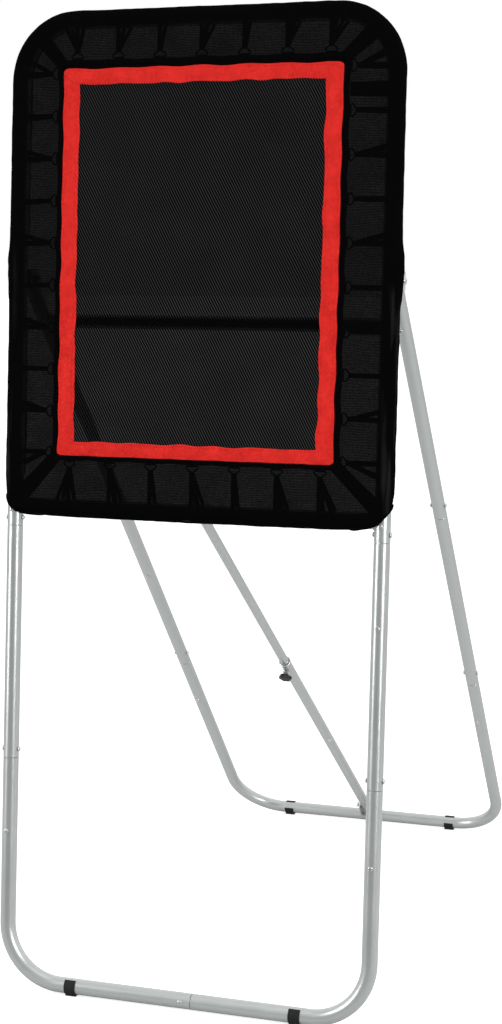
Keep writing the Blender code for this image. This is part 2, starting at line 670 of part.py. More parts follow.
def strap_comb(count, pitch, band_at, tip_at, half_band):
    """Outline of one side's elastic: a band along the tube, and a strap to each ring.
    Positions along the side come first, distances from the middle second."""
    outline = [(half_band, band_at), (half_band, band_at + STRAP_W),
               (-half_band, band_at + STRAP_W), (-half_band, band_at)]
    for index in range(count):
        along = (index - (count - 1) / 2) * pitch
        outline += [(along - STRAP_W / 2, band_at), (along - STRAP_W / 2, tip_at),
                    (along + STRAP_W / 2, tip_at), (along + STRAP_W / 2, band_at)]
    return outline


def elastic_straps(axes, elastic):
    """The laced elastic between the mat's rings and the tubes, one piece per side."""
    high = -FRONT_R - GAP
    low = high - STRAP_THICK
    side_comb = strap_comb(SIDE_STRAPS, SIDE_STRAP_PITCH, HALF_WIDTH + BAND_IN,
                           BINDING_HALF + GAP, SIDE_BAND_HALF)
    for label, side in (("left", -1), ("right", 1)):
        outline = [(side * out, MAT_MIDDLE - SIDE_STRAPS_DOWN + along) for along, out in side_comb]
        add_object("elastic_straps_" + label, plate_mesh(outline, low, high), elastic, axes)
    ends = (("top", 1, FRAME_TOP, BINDING_TOP), ("bottom", -1, RAIL_UP, BINDING_BOTTOM))
    for label, way, tube_at, edge in ends:
        comb = strap_comb(TOP_STRAPS, TOP_STRAP_PITCH, BAND_IN,
                          -way * (tube_at - edge) + GAP, TOP_BAND_HALF)
        outline = [(along, tube_at + way * out) for along, out in comb]
        add_object("elastic_straps_" + label, plate_mesh(outline, low, high), elastic, axes)


def ramp(value, start, end):
    return min(max((value - start) / (end - start), 0.0), 1.0)


def cover_wrap(x, z):
    """How far the mesh cover reaches round the tube at a place on the front frame, from
    its front: less at the brackets, and only a lip where the uprights leave it."""
    full, beside_bracket, lip = math.radians(200), math.radians(118), math.radians(24)
    if abs(x) > HALF_WIDTH - 0.001:
        away = ramp(abs(z - PIVOT_UP), *COVER_PIVOT_RAMP)
        wrap = beside_bracket + (full - beside_bracket) * away
        return lip + (wrap - lip) * ramp(z, *COVER_LOW_RAMP)
    if z > COVER_LOW_RAMP[1]:
        return full
    wrap = beside_bracket + (full - beside_bracket) * ramp(abs(x), *COVER_STRUT_RAMP)
    return wrap + (lip - wrap) * ramp(abs(x), *COVER_END_RAMP)


def spaced(start, end, steps):
    return [start + (end - start) * step / steps for step in range(steps + 1)]


def side_places():
    """Stations up one straight side of the cover, close together where its wrap changes."""
    near, far = COVER_PIVOT_RAMP
    return (spaced(*COVER_LOW_RAMP, 8)[1:] + spaced(PIVOT_UP - far, PIVOT_UP - near, 4)
            + spaced(PIVOT_UP + near, PIVOT_UP + far, 4))


def rail_places():
    """Stations along half of the cover's bottom edge, from the corner to the middle."""
    return (spaced(*COVER_END_RAMP[::-1], 8)[1:] + spaced(*COVER_STRUT_RAMP[::-1], 4))


def cover_stations():
    """Pairs of points around the cover: on the tubes' centre lines, and on the mat's
    edge, with the direction away from the mat."""
    stations = []
    inner_r = 0.006

    def corner(cx, cz, radius, start, steps):
        """A quarter turn about a tube corner, clockwise from the start angle."""
        inner_x = math.copysign(BINDING_HALF + GAP - inner_r, cx)
        inner_z = (BINDING_TOP + GAP - inner_r) if cz > MAT_MIDDLE else (BINDING_BOTTOM - GAP + inner_r)
        for step in range(steps + 1):
            angle = start - math.pi / 2 * step / steps
            out = Vector((math.cos(angle), math.sin(angle)))
            stations.append((Vector((cx, cz)) + out * radius,
                             Vector((inner_x, inner_z)) + out * inner_r, out))

    def run(fixed, spots, out):
        """A straight run, at the given places between two corners."""
        for spot in spots:
            if out.x:
                stations.append((Vector((fixed, spot)),
                                 Vector((out.x * (BINDING_HALF + GAP), spot)), out))
            else:
                edge = BINDING_TOP + GAP if out.y > 0 else BINDING_BOTTOM - GAP
                stations.append((Vector((spot, fixed)), Vector((spot, edge)), out))

    top_x, top_z = HALF_WIDTH - TOP_BEND_R, FRAME_TOP - TOP_BEND_R
    foot_x, foot_z = HALF_WIDTH - COVER_FOOT_R, RAIL_UP + COVER_FOOT_R
    sides = side_places()
    half_rail = rail_places()
    corner(-top_x, top_z, TOP_BEND_R, math.pi, BEND_STEPS)
    corner(top_x, top_z, TOP_BEND_R, math.pi / 2, BEND_STEPS)
    run(HALF_WIDTH, sides[::-1], Vector((1, 0)))
    corner(foot_x, foot_z, COVER_FOOT_R, 0.0, 3)
    run(RAIL_UP, half_rail + [-x for x in half_rail[::-1]], Vector((0, -1)))
    corner(-foot_x, foot_z, COVER_FOOT_R, -math.pi / 2, 3)
    run(-HALF_WIDTH, sides, Vector((-1, 0)))
    return stations


def mesh_cover(axes, mesh_black):
    """The see-through skirt: a sheet from the mat's edge that rolls round the tubes."""
    arc_steps = 6
    data = bmesh.new()
    loops = []
    for centre, edge, out in cover_stations():
        wrap = cover_wrap(centre.x, centre.y)
        loop = []
        for radius in (COVER_R_IN + COVER_THICK, COVER_R_IN):
            sheet = [(edge, -radius)]
            for step in range(arc_steps + 1):
                angle = wrap * step / arc_steps
                sheet.append((centre + out * radius * math.sin(angle), -radius * math.cos(angle)))
            if radius == COVER_R_IN:
                sheet.reverse()
            loop += [data.verts.new((spot.x, depth, spot.y)) for spot, depth in sheet]
        loops.append(loop)
    count = len(loops[0])
    for loop, following in zip(loops, loops[1:] + loops[:1]):
        for side in range(count):
            after = (side + 1) % count
            data.faces.new((loop[side], loop[after], following[after], following[side]))
    bmesh.ops.recalc_face_normals(data, faces=data.faces)
    add_object("mesh_cover", data, mesh_black, axes)


# ---------------------------------------------------------------- assembly
def build():
    clear_scene()
    steel = material("Silver powder coat", (0.40, 0.43, 0.41), 0.35, 0.7)
    zinc = material("Zinc plate", (0.55, 0.56, 0.57), 0.30, 1.0)
    rubber = material("Black rubber", (0.012, 0.012, 0.012), 0.7)
    plastic = material("Black plastic", (0.015, 0.015, 0.016), 0.45)
    mesh_black = material("Black polyester mesh", (0.008, 0.008, 0.009), 0.85)
    red = material("Red webbing", (0.75, 0.02, 0.015), 0.8)
    black = material("Black webbing", (0.006, 0.006, 0.006), 0.85)
    elastic = material("Black elastic", (0.010, 0.010, 0.010), 0.8)

    front_axes = axis_empty("front_frame_axis", (0, -FLOOR_SPREAD / 2, FLOOR_Z), -FRONT_LEAN)
    tubes = front_tubes(front_axes, steel)
    front_joints(front_axes, tubes, steel, zinc)
    pivot_brackets(front_axes, steel)
    strut_top(front_axes, steel, zinc)
    target(front_axes, mesh_black, red, black)
    elastic_straps(front_axes, elastic)
    mesh_cover(front_axes, mesh_black)

    pivot = Vector((0, PIVOT_RUN - FLOOR_SPREAD / 2, PIVOT_Z))
    rear_axes = axis_empty("rear_frame_axis", pivot, REAR_LEAN)
    rear_frame(rear_axes, steel, zinc)
    strut_foot(rear_axes, steel, zinc)
    foot_clips(rubber)

    to_world = Matrix.Rotation(-FRONT_LEAN, 3, "X")
    top = Vector((0, -FLOOR_SPREAD / 2, FLOOR_Z)) + to_world @ Vector((0, STRUT_TOP_BACK, STRUT_TOP_UP))
    to_world = Matrix.Rotation(REAR_LEAN, 3, "X")
    foot = pivot + to_world @ Vector((0, 0, STRUT_FOOT_OFF - REAR_LENGTH))
    reach = top - foot
    strut_tilt = math.atan2(-reach.y, reach.z)
    strut_axes = axis_empty("strut_axis", foot, strut_tilt)
    strut(strut_axes, reach.length, steel, zinc, plastic)


build()
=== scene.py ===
"""Pitching target net: the looks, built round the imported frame.

The front frame, the rear frame and the strut each have their own frame here, as in the CAD:
X runs across, Z runs up along the tubes and Y points to the back. Panel pieces are built in
the front frame's, so their weave follows the panel. Metres throughout.
"""
from math import acos, atan2, cos, exp, hypot, pi, radians, sin, sqrt, tan

import bpy
from mathutils import Matrix, Vector, noise


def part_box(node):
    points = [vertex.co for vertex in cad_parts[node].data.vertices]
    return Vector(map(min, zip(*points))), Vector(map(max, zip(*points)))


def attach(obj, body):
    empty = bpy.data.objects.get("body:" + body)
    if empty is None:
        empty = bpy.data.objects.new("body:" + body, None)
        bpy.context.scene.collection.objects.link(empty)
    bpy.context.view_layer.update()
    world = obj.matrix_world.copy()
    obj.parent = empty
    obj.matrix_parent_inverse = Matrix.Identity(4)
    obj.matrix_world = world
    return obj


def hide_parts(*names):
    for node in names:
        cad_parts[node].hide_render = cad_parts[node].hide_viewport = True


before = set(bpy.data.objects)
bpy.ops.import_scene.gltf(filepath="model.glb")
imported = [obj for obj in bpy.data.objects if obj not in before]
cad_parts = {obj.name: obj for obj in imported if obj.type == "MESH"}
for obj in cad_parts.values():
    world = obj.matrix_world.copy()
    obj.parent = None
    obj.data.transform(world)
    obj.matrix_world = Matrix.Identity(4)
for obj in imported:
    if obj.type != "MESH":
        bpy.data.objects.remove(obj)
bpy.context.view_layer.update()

# -------- sizes
FRONT_R, REAR_R, TUBE_WALL = 0.0135, 0.0122, 0.0015
HALF_GAP = 0.0004            # half of the dark line where two tubes butt
EDGE = 0.0004                # rounding at a tube's end
TOP_BEND_R, FOOT_BEND_R, REAR_BEND_R = 0.098, 0.101, 0.102
STRUT_OUTER_R, STRUT_INNER_R, STRUT_WALL = 0.0103, 0.0085, 0.0012
TUBE_SIDES, BEND_STEPS, WIRE_SIDES = 36, 22, 10
SCREW_R, HEAD_RISE = 0.0042, 0.55     # a pan head's rise for its radius
SUNK = 0.0001                # how far a head sits in its tube's wall
SIDES = (("left", -1), ("right", 1))

RED_THICK = 0.0010
RED_FOOT_IN, RED_TOP_IN = 0.0240, 0.0270     # width of the red webbing, bottom and top
RED_SIDE_IN = 0.0295                         # and at the sides
WIRE_R = 0.0014              # V-ring wire
RING_HALF, RING_REACH = 0.0158, 0.0132
RINGS_ACROSS, RING_PITCH_ACROSS = 7, 0.0742
RINGS_UP, RING_PITCH_UP = 10, 0.0709
RING_DROP = 0.0045           # the side rings' middle, below the mat's
STITCH_PITCH, STITCH_LENGTH, STITCH_R = 0.0034, 0.0024, 0.00032
STRAP_WIDTH, STRAP_THICK = 0.0080, 0.0011
CORNER_STRAP_WIDTH = 0.0200
COVER_R = 0.0172             # cover round the tubes, where it lies close
COVER_FOOT_R = 0.027         # its bottom corners
COVER_FLAT_STEPS, COVER_ARC_STEPS = 12, 18
CORNER_STEPS = 20

WHITE = (1.0, 1.0, 1.0, 1.0)
FORWARD = Vector((0.0, -1.0, 0.0))


# -------- places, from the frame
def middle(node):
    low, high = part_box(node)
    return (Vector(low) + Vector(high)) / 2


def plane_of(foot, above):
    """The frame of an assembly that stands on one node and passes through another."""
    origin = middle(foot)
    origin.x = 0.0
    up = middle(above) - origin
    up.x = 0.0
    up.normalize()
    across = Vector((1.0, 0.0, 0.0))
    turn = Matrix((across, up.cross(across), up)).transposed().to_4x4()
    return Matrix.Translation(origin) @ turn


FRONT = plane_of("front_floor_sleeve", "bottom_rail")
REAR = plane_of("rear_floor_sleeve", "rear_crossbar")
STRUT = plane_of("strut_foot_bolt", "strut_top_bolt")
PLANES = {"front_frame": FRONT, "rear_frame": REAR, "strut_outer": STRUT, "strut_inner": STRUT,
          "clamp": STRUT}
TUBES = {"front_frame": (FRONT_R, TUBE_WALL), "rear_frame": (REAR_R, TUBE_WALL),
         "strut_outer": (STRUT_OUTER_R, STRUT_WALL), "strut_inner": (STRUT_INNER_R, STRUT_WALL)}


def extent(node, plane):
    """Lowest and highest corner of a CAD node in an assembly's frame."""
    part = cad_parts[node]
    back = plane.inverted() @ part.matrix_world
    spots = [back @ vertex.co for vertex in part.data.vertices]
    low = Vector(min(spot[axis] for spot in spots) for axis in range(3))
    high = Vector(max(spot[axis] for spot in spots) for axis in range(3))
    return low, high


def centre(node, plane):
    low, high = extent(node, plane)
    return (low + high) / 2


HALF_WIDTH = centre("front_mid_leg_right", FRONT).x
FRAME_TOP = extent("target_frame_tube", FRONT)[1].z - FRONT_R
RAIL_UP = centre("bottom_rail", FRONT).z
FRONT_SEAMS = [corner.z for corner in extent("front_mid_leg_right", FRONT)]
FLOOR_SEAM = extent("front_foot_bend_right", FRONT)[0].x
PIVOT = centre("pivot_bolt_right", FRONT)
PIVOT_UP = middle("pivot_bolt_right").z
MAT_LOW, MAT_HIGH = extent("target_mat", FRONT)
BIND_LOW, BIND_HIGH = extent("mat_binding", FRONT)
RED_LOW, RED_HIGH = extent("strike_zone_border", FRONT)
MAT_OFF = (MAT_LOW.y + MAT_HIGH.y) / 2
MAT_MIDDLE = (BIND_LOW.z + BIND_HIGH.z) / 2
BIND_HALF = BIND_HIGH.x

REAR_LENGTH = centre("pivot_bolt_right", REAR).z
REAR_SEAMS = [corner.z for corner in extent("rear_mid_leg_right", REAR)]
CROSSBAR_UP = centre("rear_crossbar", REAR).z
REAR_LEG_TOP = extent("rear_upper_leg_right", REAR)[1].z
REAR_HALF_FOOT = 0.300       # half of the rear frame's width at the floor
FOLDED_BAR_UP = PIVOT.z - (REAR_LENGTH - CROSSBAR_UP)   # where the folded crossbar ends up

STRUT_LENGTH = (middle("strut_top_bolt") - middle("strut_foot_bolt")).yz.length


# -------- material helpers
class Nodes:
    """Short ways to add nodes to a node tree."""

    def __init__(self, tree):
        self.tree = tree

    def node(self, kind, inputs=(), **settings):
        made = self.tree.nodes.new("ShaderNode" + kind)
        for key, value in settings.items():
            setattr(made, key, value)
        for key, value in dict(inputs).items():
            if isinstance(value, bpy.types.NodeSocket):
                self.tree.links.new(value, made.inputs[key])
            else:
                made.inputs[key].default_value = value
        return made

    def math(self, operation, first, second=0.0, clamp=False):
        return self.node("Math", {0: first, 1: second}, operation=operation,
                         use_clamp=clamp).outputs[0]

    def times(self, first, second, clamp=False):
        return self.math("MULTIPLY", first, second, clamp)

    def plus(self, first, second, clamp=False):
        return self.math("ADD", first, second, clamp)

    def rest(self, value):
        """1 minus the value."""
        return self.math("SUBTRACT", 1.0, value)

    def place(self):
        """Object coordinates, which are the assembly's own frame."""
        return self.node("TexCoord").outputs["Object"]

    def split(self, vector):
        """The X, Y and Z of a vector."""
        return self.node("SeparateXYZ", {0: vector}).outputs

    def swayed(self, value, by, amount):
        """value + by * amount"""
        return self.node("Math", {0: by, 1: amount, 2: value},
                         operation="MULTIPLY_ADD").outputs[0]

    def noise(self, scale, detail=3.0, vector=None, roughness=0.5):
        return self.node("TexNoise", {
            "Vector": vector if vector is not None else self.place(), "Scale": scale,
            "Detail": detail, "Roughness": roughness}).outputs["Fac"]

    def range(self, value, low, high, to_low=0.0, to_high=1.0):
        return self.node("MapRange", {
            "Value": value, "From Min": low, "From Max": high, "To Min": to_low,
            "To Max": to_high}).outputs["Result"]

    def mix(self, share, first, second):
        return self.node("Mix", {0: share, 6: first, 7: second}, data_type="RGBA").outputs[2]

    def ridges(self, value, pitch):
        """0 to 1 and back once per pitch."""
        wave = self.math("SINE", self.times(value, 2 * pi / pitch))
        return self.math("MULTIPLY_ADD", wave, 0.5)


class Shader(Nodes):
    """A material and its nodes."""

    def __init__(self, name, **values):
        self.material = bpy.data.materials.new(name)
        self.material.use_nodes = True
        super().__init__(self.material.node_tree)
        self.principled = self.tree.nodes["Principled BSDF"]
        for key, value in values.items():
            self.principled.inputs[key.replace("_", " ")].default_value = value

    def link(self, value, socket):
        self.tree.links.new(value, self.principled.inputs[socket])

    def tint(self, share, first, second):
        self.link(self.mix(share, first, second), "Base Color")

    def rough(self, value, low, high):
        self.link(self.range(value, 0.3, 0.7, low, high), "Roughness")

    def bump(self, height, strength, distance):
        made = self.node("Bump", {"Height": height, "Strength": strength, "Distance": distance})
        self.link(made.outputs["Normal"], "Normal")


def colour(red, green, blue):
    return (red, green, blue, 1.0)


def grey(level):
    return colour(level, level, level)


def silver_steel():
    made = Shader("silver_powder_coat", Metallic=0.82, Specular_IOR_Level=0.5)
    speckle = made.noise(1400.0, 2.0)
    patches = made.noise(9.0, 3.0)
    tone = made.mix(patches, colour(0.45, 0.475, 0.465), colour(0.51, 0.535, 0.525))
    flakes = made.range(speckle, 0.35, 0.75)
    made.tint(made.times(flakes, 0.35), tone, colour(0.66, 0.68, 0.66))
    made.rough(patches, 0.30, 0.37)
    made.bump(made.noise(650.0, 2.0), 0.10, 0.0004)
    return made.material


def zinc():
    made = Shader("zinc_plate", Metallic=1.0)
    grain = made.noise(420.0, 4.0)
    made.tint(grain, colour(0.50, 0.51, 0.52), colour(0.74, 0.74, 0.73))
    made.rough(grain, 0.24, 0.42)
    made.bump(made.noise(1500.0, 2.0), 0.08, 0.0003)
    return made.material


def moulded(name, dark, light, roughness, grain_scale, level):
    """Rubber or moulded plastic: a dark tone with a fine matt grain."""
    made = Shader(name, Specular_IOR_Level=level)
    patches = made.noise(60.0, 3.0)
    grain = made.noise(grain_scale, 3.0)
    made.tint(patches, dark, light)
    made.rough(grain, roughness - 0.07, roughness + 0.07)
    made.bump(grain, 0.25, 0.0004)
    return made.material


def webbing(name, dark, light, level, pitch_along, pitch_across, depth):
    """Woven tape: rows of short ribs, each column half a rib out of step with the next.
    The tape's own attribute "run" gives metres along and across it."""
    made = Shader(name, Roughness=0.85, Specular_IOR_Level=level)
    run = made.node("Attribute", attribute_name="run").outputs["Vector"]
    along, across, _ = made.split(run)
    columns = made.ridges(across, pitch_across)
    odd_even = made.math("SINE", made.times(across, pi / pitch_across))
    step = made.times(made.math("SIGN", odd_even), pitch_along / 4)
    rows = made.ridges(made.plus(along, step), pitch_along)
    height = made.plus(made.times(columns, 0.45), made.times(rows, 0.55))
    fuzz = made.noise(240.0, 4.0, roughness=0.6)
    patches = made.noise(45.0, 3.0)
    mottle = made.plus(made.range(fuzz, 0.35, 0.65), made.range(patches, 0.3, 0.7))
    # Partly painted shade: colour follows the ribs' height, so the grooves between ribs carry
    # painted shade; the mottle is the tape's own uneven tone.
    painted_groove_shade_and_mottle = made.plus(made.times(height, 0.50), made.times(mottle, 0.25), clamp=True)
    made.tint(painted_groove_shade_and_mottle, dark, light)
    made.rough(fuzz, 0.78, 0.92)
    made.bump(made.plus(height, made.times(fuzz, 0.3)), 0.8, depth)
    return made.material


def mat_mesh():
    """Dense see-through twill: threads both ways, with slanting rows of small openings; the rows
    also carry painted light.
    """
    made = Shader("mat_twill", Roughness=0.8, Specular_IOR_Level=0.006)
    across, _, up = made.split(made.place())
    thread_pitch, slope, row_pitch = 0.0011, 1.85, 0.0041
    wander = made.times(made.noise(5.0, 2.0), 0.010)
    slanted = made.plus(made.plus(made.times(across, slope), up), wander)
    rows = made.ridges(slanted, row_pitch * hypot(1.0, slope))
    warp = made.ridges(across, thread_pitch)
    weft = made.ridges(up, thread_pitch)
    threads = made.plus(made.times(warp, rows), made.times(weft, made.rest(rows)))
    patches = made.noise(14.0, 3.0)
    # Partly painted light: the slanting rows are painted lighter, standing in for light shining
    # through their openings, and the thread crowns lighter for light falling on them; the patches
    # are the mesh's own uneven tone.
    lit = made.times(made.plus(rows, made.times(threads, 0.35)),
                     made.range(patches, 0.2, 0.8, 0.75, 1.0), clamp=True)
    made.tint(lit, grey(0.0002), colour(0.0024, 0.0024, 0.0025))
    openings = made.times(made.math("POWER", rows, 3.0),
                          made.range(patches, 0.2, 0.8, 0.028, 0.038))
    made.link(made.rest(openings), "Alpha")
    made.bump(threads, 0.5, 0.0003)
    return made.material


def cover_mesh():
    """Fine knitted see-through mesh of the skirt, with painted highlight streaks over the uprights
    below the pivots.
    """
    made = Shader("cover_knit", Roughness=0.8, Specular_IOR_Level=0.004)
    across, _, up = made.split(made.place())
    soft = made.noise(160.0, 2.0)
    knit = made.times(*(made.ridges(made.swayed(value, soft, 0.0006), 0.0016)
                        for value in (across, up)))
    patches = made.noise(22.0, 4.0)
    wavy = made.swayed(up, made.noise(16.0, 2.0), 0.016)
    courses = made.times(made.range(made.ridges(wavy, 0.0042), 0.0, 1.0, 0.55, 1.25),
                         made.range(made.noise(260.0, 1.0), 0.30, 0.70, 0.60, 1.35))
    beside = made.range(made.math("ABSOLUTE", across), HALF_WIDTH - 0.006, HALF_WIDTH + 0.006)
    # Painted highlight: pale is the share of lighter colour in vertical streaks over the uprights
    # below the pivots, standing in for the tubes' highlight and the cloth's sheen seen through the
    # mesh.
    painted_sheen_streaks = made.noise(1.0, 3.0, made.node("Mapping", {
        "Vector": made.place(), "Scale": (60.0, 60.0, 6.0)}).outputs[0])
    pale = made.times(made.times(beside, made.range(painted_sheen_streaks, 0.50, 0.72)),
                      made.range(up, PIVOT_UP + 0.06, PIVOT_UP - 0.06))
    knitted = made.mix(knit, colour(0.0022, 0.0022, 0.0023), grey(0.0005))
    made.tint(pale, knitted, grey(0.014))
    loose = made.times(courses, made.range(patches, 0.25, 0.75, 0.60, 1.10))
    openings = made.times(made.range(knit, 0.0, 1.0, 0.002, 0.021), loose)
    made.link(made.rest(made.times(openings, made.rest(beside))), "Alpha")
    made.bump(made.plus(knit, made.times(soft, 0.4)), 0.4, 0.0003)
    return made.material


MATERIALS = {
    "silver_steel": silver_steel(),
    "zinc": zinc(),
    "rubber": moulded("foot_rubber", grey(0.006), grey(0.014), 0.72, 700.0, 0.25),
    "black_plastic": moulded("moulded_plastic", colour(0.007, 0.007, 0.008),
                             colour(0.014, 0.014, 0.015), 0.42, 1100.0, 0.4),
    "mat_mesh": mat_mesh(),
    "cover_mesh": cover_mesh(),
    "red_webbing": webbing("red_webbing_tape", colour(0.40, 0.008, 0.007),
                           colour(0.88, 0.038, 0.030), 0.05, 0.0030, 0.0016, 0.0005),
    "black_webbing": webbing("black_webbing_tape", grey(0.0006), grey(0.0036), 0.006, 0.0022,
                             0.0012, 0.0005),
    "elastic": webbing("black_elastic_tape", grey(0.0006),
                       colour(0.0036, 0.0036, 0.0037), 0.008, 0.0016, 0.0009, 0.0004),
}


# -------- mesh helpers
def in_scene(name, data):
    item = bpy.data.objects.new(name, data)
    bpy.context.scene.collection.objects.link(item)
    return item


class Build:
    """Vertices and faces of one piece, which may be several solids, with each vertex's
    metres along and across its tape."""

    def __init__(self):
        self.verts, self.faces, self.run = [], [], []

    def skin(self, rings, closed=False, wrap=True, runs=None):
        """Joins rings of equal length, round (wrap) and, if closed, end to start."""
        first = len(self.verts)
        count = len(rings[0])
        for index, ring in enumerate(rings):
            self.verts += [tuple(spot) for spot in ring]
            self.run += runs[index] if runs else [(0.0, 0.0, 0.0)] * count
        for row in range(len(rings) if closed else len(rings) - 1):
            start = first + row * count
            after = first + (row + 1) % len(rings) * count
            for side in range(count if wrap else count - 1):
                beside = (side + 1) % count
                self.faces.append((start + side, start + beside, after + beside, after + side))
        if wrap and not closed:
            self.faces.append(tuple(range(first + count - 1, first - 1, -1)))
            last = first + (len(rings) - 1) * count
            self.faces.append(tuple(range(last, last + count)))

    def finish(self, name, slot, body, *replaced, sharp=35.0, plane=None):
        """Makes the piece, in its body's frame. It stands in for the replaced CAD nodes."""
        mesh = bpy.data.meshes.new(name)
        mesh.from_pydata(self.verts, [], self.faces)
        mesh.attributes.new("run", "FLOAT_VECTOR", "POINT").data.foreach_set(
            "vector", [number for spot in self.run for number in spot])
        mesh.validate()
        mesh.shade_smooth()
        mesh.set_sharp_from_angle(angle=radians(sharp))
        mesh.materials.append(MATERIALS[slot])
        item = in_scene(name, mesh)
        item.matrix_world = PLANES[body] if plane is None else plane
        bpy.context.view_layer.update()
        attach(item, body)
        if replaced:
            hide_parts(*replaced)
        return item


def at_depth(flat, depth):
    """A place in an assembly's XZ plane, moved to a depth."""
    return Vector((flat.x, depth, flat.y))


def right_of(out):
    """The way to the right of a flat way out."""
    return Vector((out.y, -out.x))


def angles(sides):
    return [2 * pi * side / sides for side in range(sides)]


def circle(spot, first, second, radius, sides):
    """Points round a spot, in the plane of two directions."""
    return [spot + (first * cos(angle) + second * sin(angle)) * radius
            for angle in angles(sides)]


def rounded_corner(before, corner, after, radius, steps):
    """Points of the arc that rounds a corner of a flat line."""
    to_before = (before - corner).normalized()
    to_after = (after - corner).normalized()
    half = to_before.angle(to_after) / 2
    middle_spot = corner + (to_before + to_after).normalized() * radius / sin(half)
    start = corner + to_before * radius / tan(half) - middle_spot
    end = corner + to_after * radius / tan(half) - middle_spot
    sweep = start.angle(end)
    points = []
    for step in range(steps + 1):
        share = step / steps
        turned = start * sin((1 - share) * sweep) + end * sin(share * sweep)
        points.append(middle_spot + turned / sin(sweep))
    return points


def rounded_line(corners, radius):
    corners = [Vector(corner) for corner in corners]
    points = [corners[0]]
    for before, corner, after in zip(corners, corners[1:], corners[2:]):
        points += rounded_corner(before, corner, after, radius, BEND_STEPS)
    return points + [corners[-1]]


def tube(build, line, radius, wall):
    """A hollow tube along a line in the XZ plane, its ends slightly rounded."""
    line = [Vector(spot) for spot in line]
    start_way = (line[0] - line[1]).normalized()
    end_way = (line[-1] - line[-2]).normalized()
    stops = [(line[0], EDGE), (line[0] - start_way * EDGE, 0.0)]
    stops += [(spot, 0.0) for spot in line[1:-1]]
    stops += [(line[-1] - end_way * EDGE, 0.0), (line[-1], EDGE)]
    walls = []
    for inside in (False, True):
        rings = []
        for index, (spot, cut) in enumerate(stops):
            back = stops[max(index - 1, 0)][0]
            ahead = stops[min(index + 1, len(stops) - 1)][0]
            along = (ahead - back).normalized()
            reach = radius - wall if inside else radius - cut
            rings.append([at_depth(spot + right_of(along) * reach * cos(angle), reach * sin(angle))
                          for angle in angles(TUBE_SIDES)])
        walls.append(rings)
    build.skin(walls[0] + walls[1][::-1], closed=True)


def turned(build, profile, centre_spot, axis, sides, section=None, hollow=False, side_way=None):
    """Rings (height, radius) about an axis. A third value marks those that section shapes."""
    axis = Vector(axis).normalized()
    first = Vector(side_way) if side_way else axis.orthogonal().normalized()
    second = axis.cross(first)
    rings = []
    for height, radius, *shaped in profile:
        ring = []
        for angle in angles(sides):
            reach = radius * (section(angle) if shaped else 1.0)
            ring.append(Vector(centre_spot) + axis * height
                        + (first * cos(angle) + second * sin(angle)) * reach)
        rings.append(ring)
    build.skin(rings, closed=hollow)


def hexagon(angle):
    within = angle % (pi / 3) - pi / 6
    return cos(pi / 6) / cos(within)


def tangents(points):
    """The way along a closed line at each of its points."""
    return [(ahead - back).normalized()
            for back, ahead in zip(points[-1:] + points[:-1], points[1:] + points[:1])]


def wire(build, points, radius):
    """A closed round wire along flat points; the XZ plane is its plane."""
    flat = Vector((0.0, 1.0, 0.0))
    build.skin([circle(point, way.cross(flat).normalized(), flat, radius, WIRE_SIDES)
                for point, way in zip(points, tangents(points))], closed=True)


def ribbon(build, points, wide, width, thick):
    """A closed flat tape along points; wide is the direction of its width."""
    half, rim = width / 2, thick / 2
    section = ((-half, 0.0), (-half + rim, rim), (0.0, rim * 1.1), (half - rim, rim),
               (half, 0.0), (half - rim, -rim), (0.0, -rim * 1.1), (-half + rim, -rim))
    rings, runs = [], []
    for point, way, gone in zip(points, tangents(points), distances(points)):
        normal = way.cross(wide).normalized()
        rings.append([point + wide * across + normal * out for across, out in section])
        runs.append([(gone, across, 0.0) for across, out in section])
    build.skin(rings, closed=True, runs=runs)


def distances(points):
    """How far along a line each of its points is."""
    gone = [0.0]
    for start, end in zip(points, points[1:]):
        gone.append(gone[-1] + (end - start).length)
    return gone


def ripple(spot, size, seed):
    """Smooth noise from -1 to 1, the same on each run."""
    return noise.noise(Vector((spot[0] / size, spot[1] / size, seed)))


# -------- steel frame


def steel_tube(name, line, body, replaced):
    build = Build()
    tube(build, line, *TUBES[body])
    build.finish(name, "silver_steel", body, replaced)


def front_tubes():
    low_seam, high_seam = FRONT_SEAMS
    foot = high_seam + HALF_GAP
    line = rounded_line(((-HALF_WIDTH, foot), (-HALF_WIDTH, FRAME_TOP), (HALF_WIDTH, FRAME_TOP),
                         (HALF_WIDTH, foot)), TOP_BEND_R)
    steel_tube("target_frame", line, "front_frame", "target_frame_tube")
    reach = HALF_WIDTH - FRONT_R * 0.75
    steel_tube("lower_rail", ((-reach, RAIL_UP), (reach, RAIL_UP)), "front_frame", "bottom_rail")
    for label, side in SIDES:
        x = side * HALF_WIDTH
        steel_tube("front_leg_" + label, ((x, low_seam + HALF_GAP), (x, high_seam - HALF_GAP)),
                   "front_frame", "front_mid_leg_" + label)
        line = rounded_line(((x, low_seam - HALF_GAP), (x, 0.0),
                             (FLOOR_SEAM + side * HALF_GAP, 0.0)), FOOT_BEND_R)
        steel_tube("front_foot_" + label, line, "front_frame", "front_foot_bend_" + label)


def rear_x(up):
    """How far out a rear leg is: the legs come closer together towards the floor."""
    return REAR_HALF_FOOT + (HALF_WIDTH - REAR_HALF_FOOT) * up / REAR_LENGTH


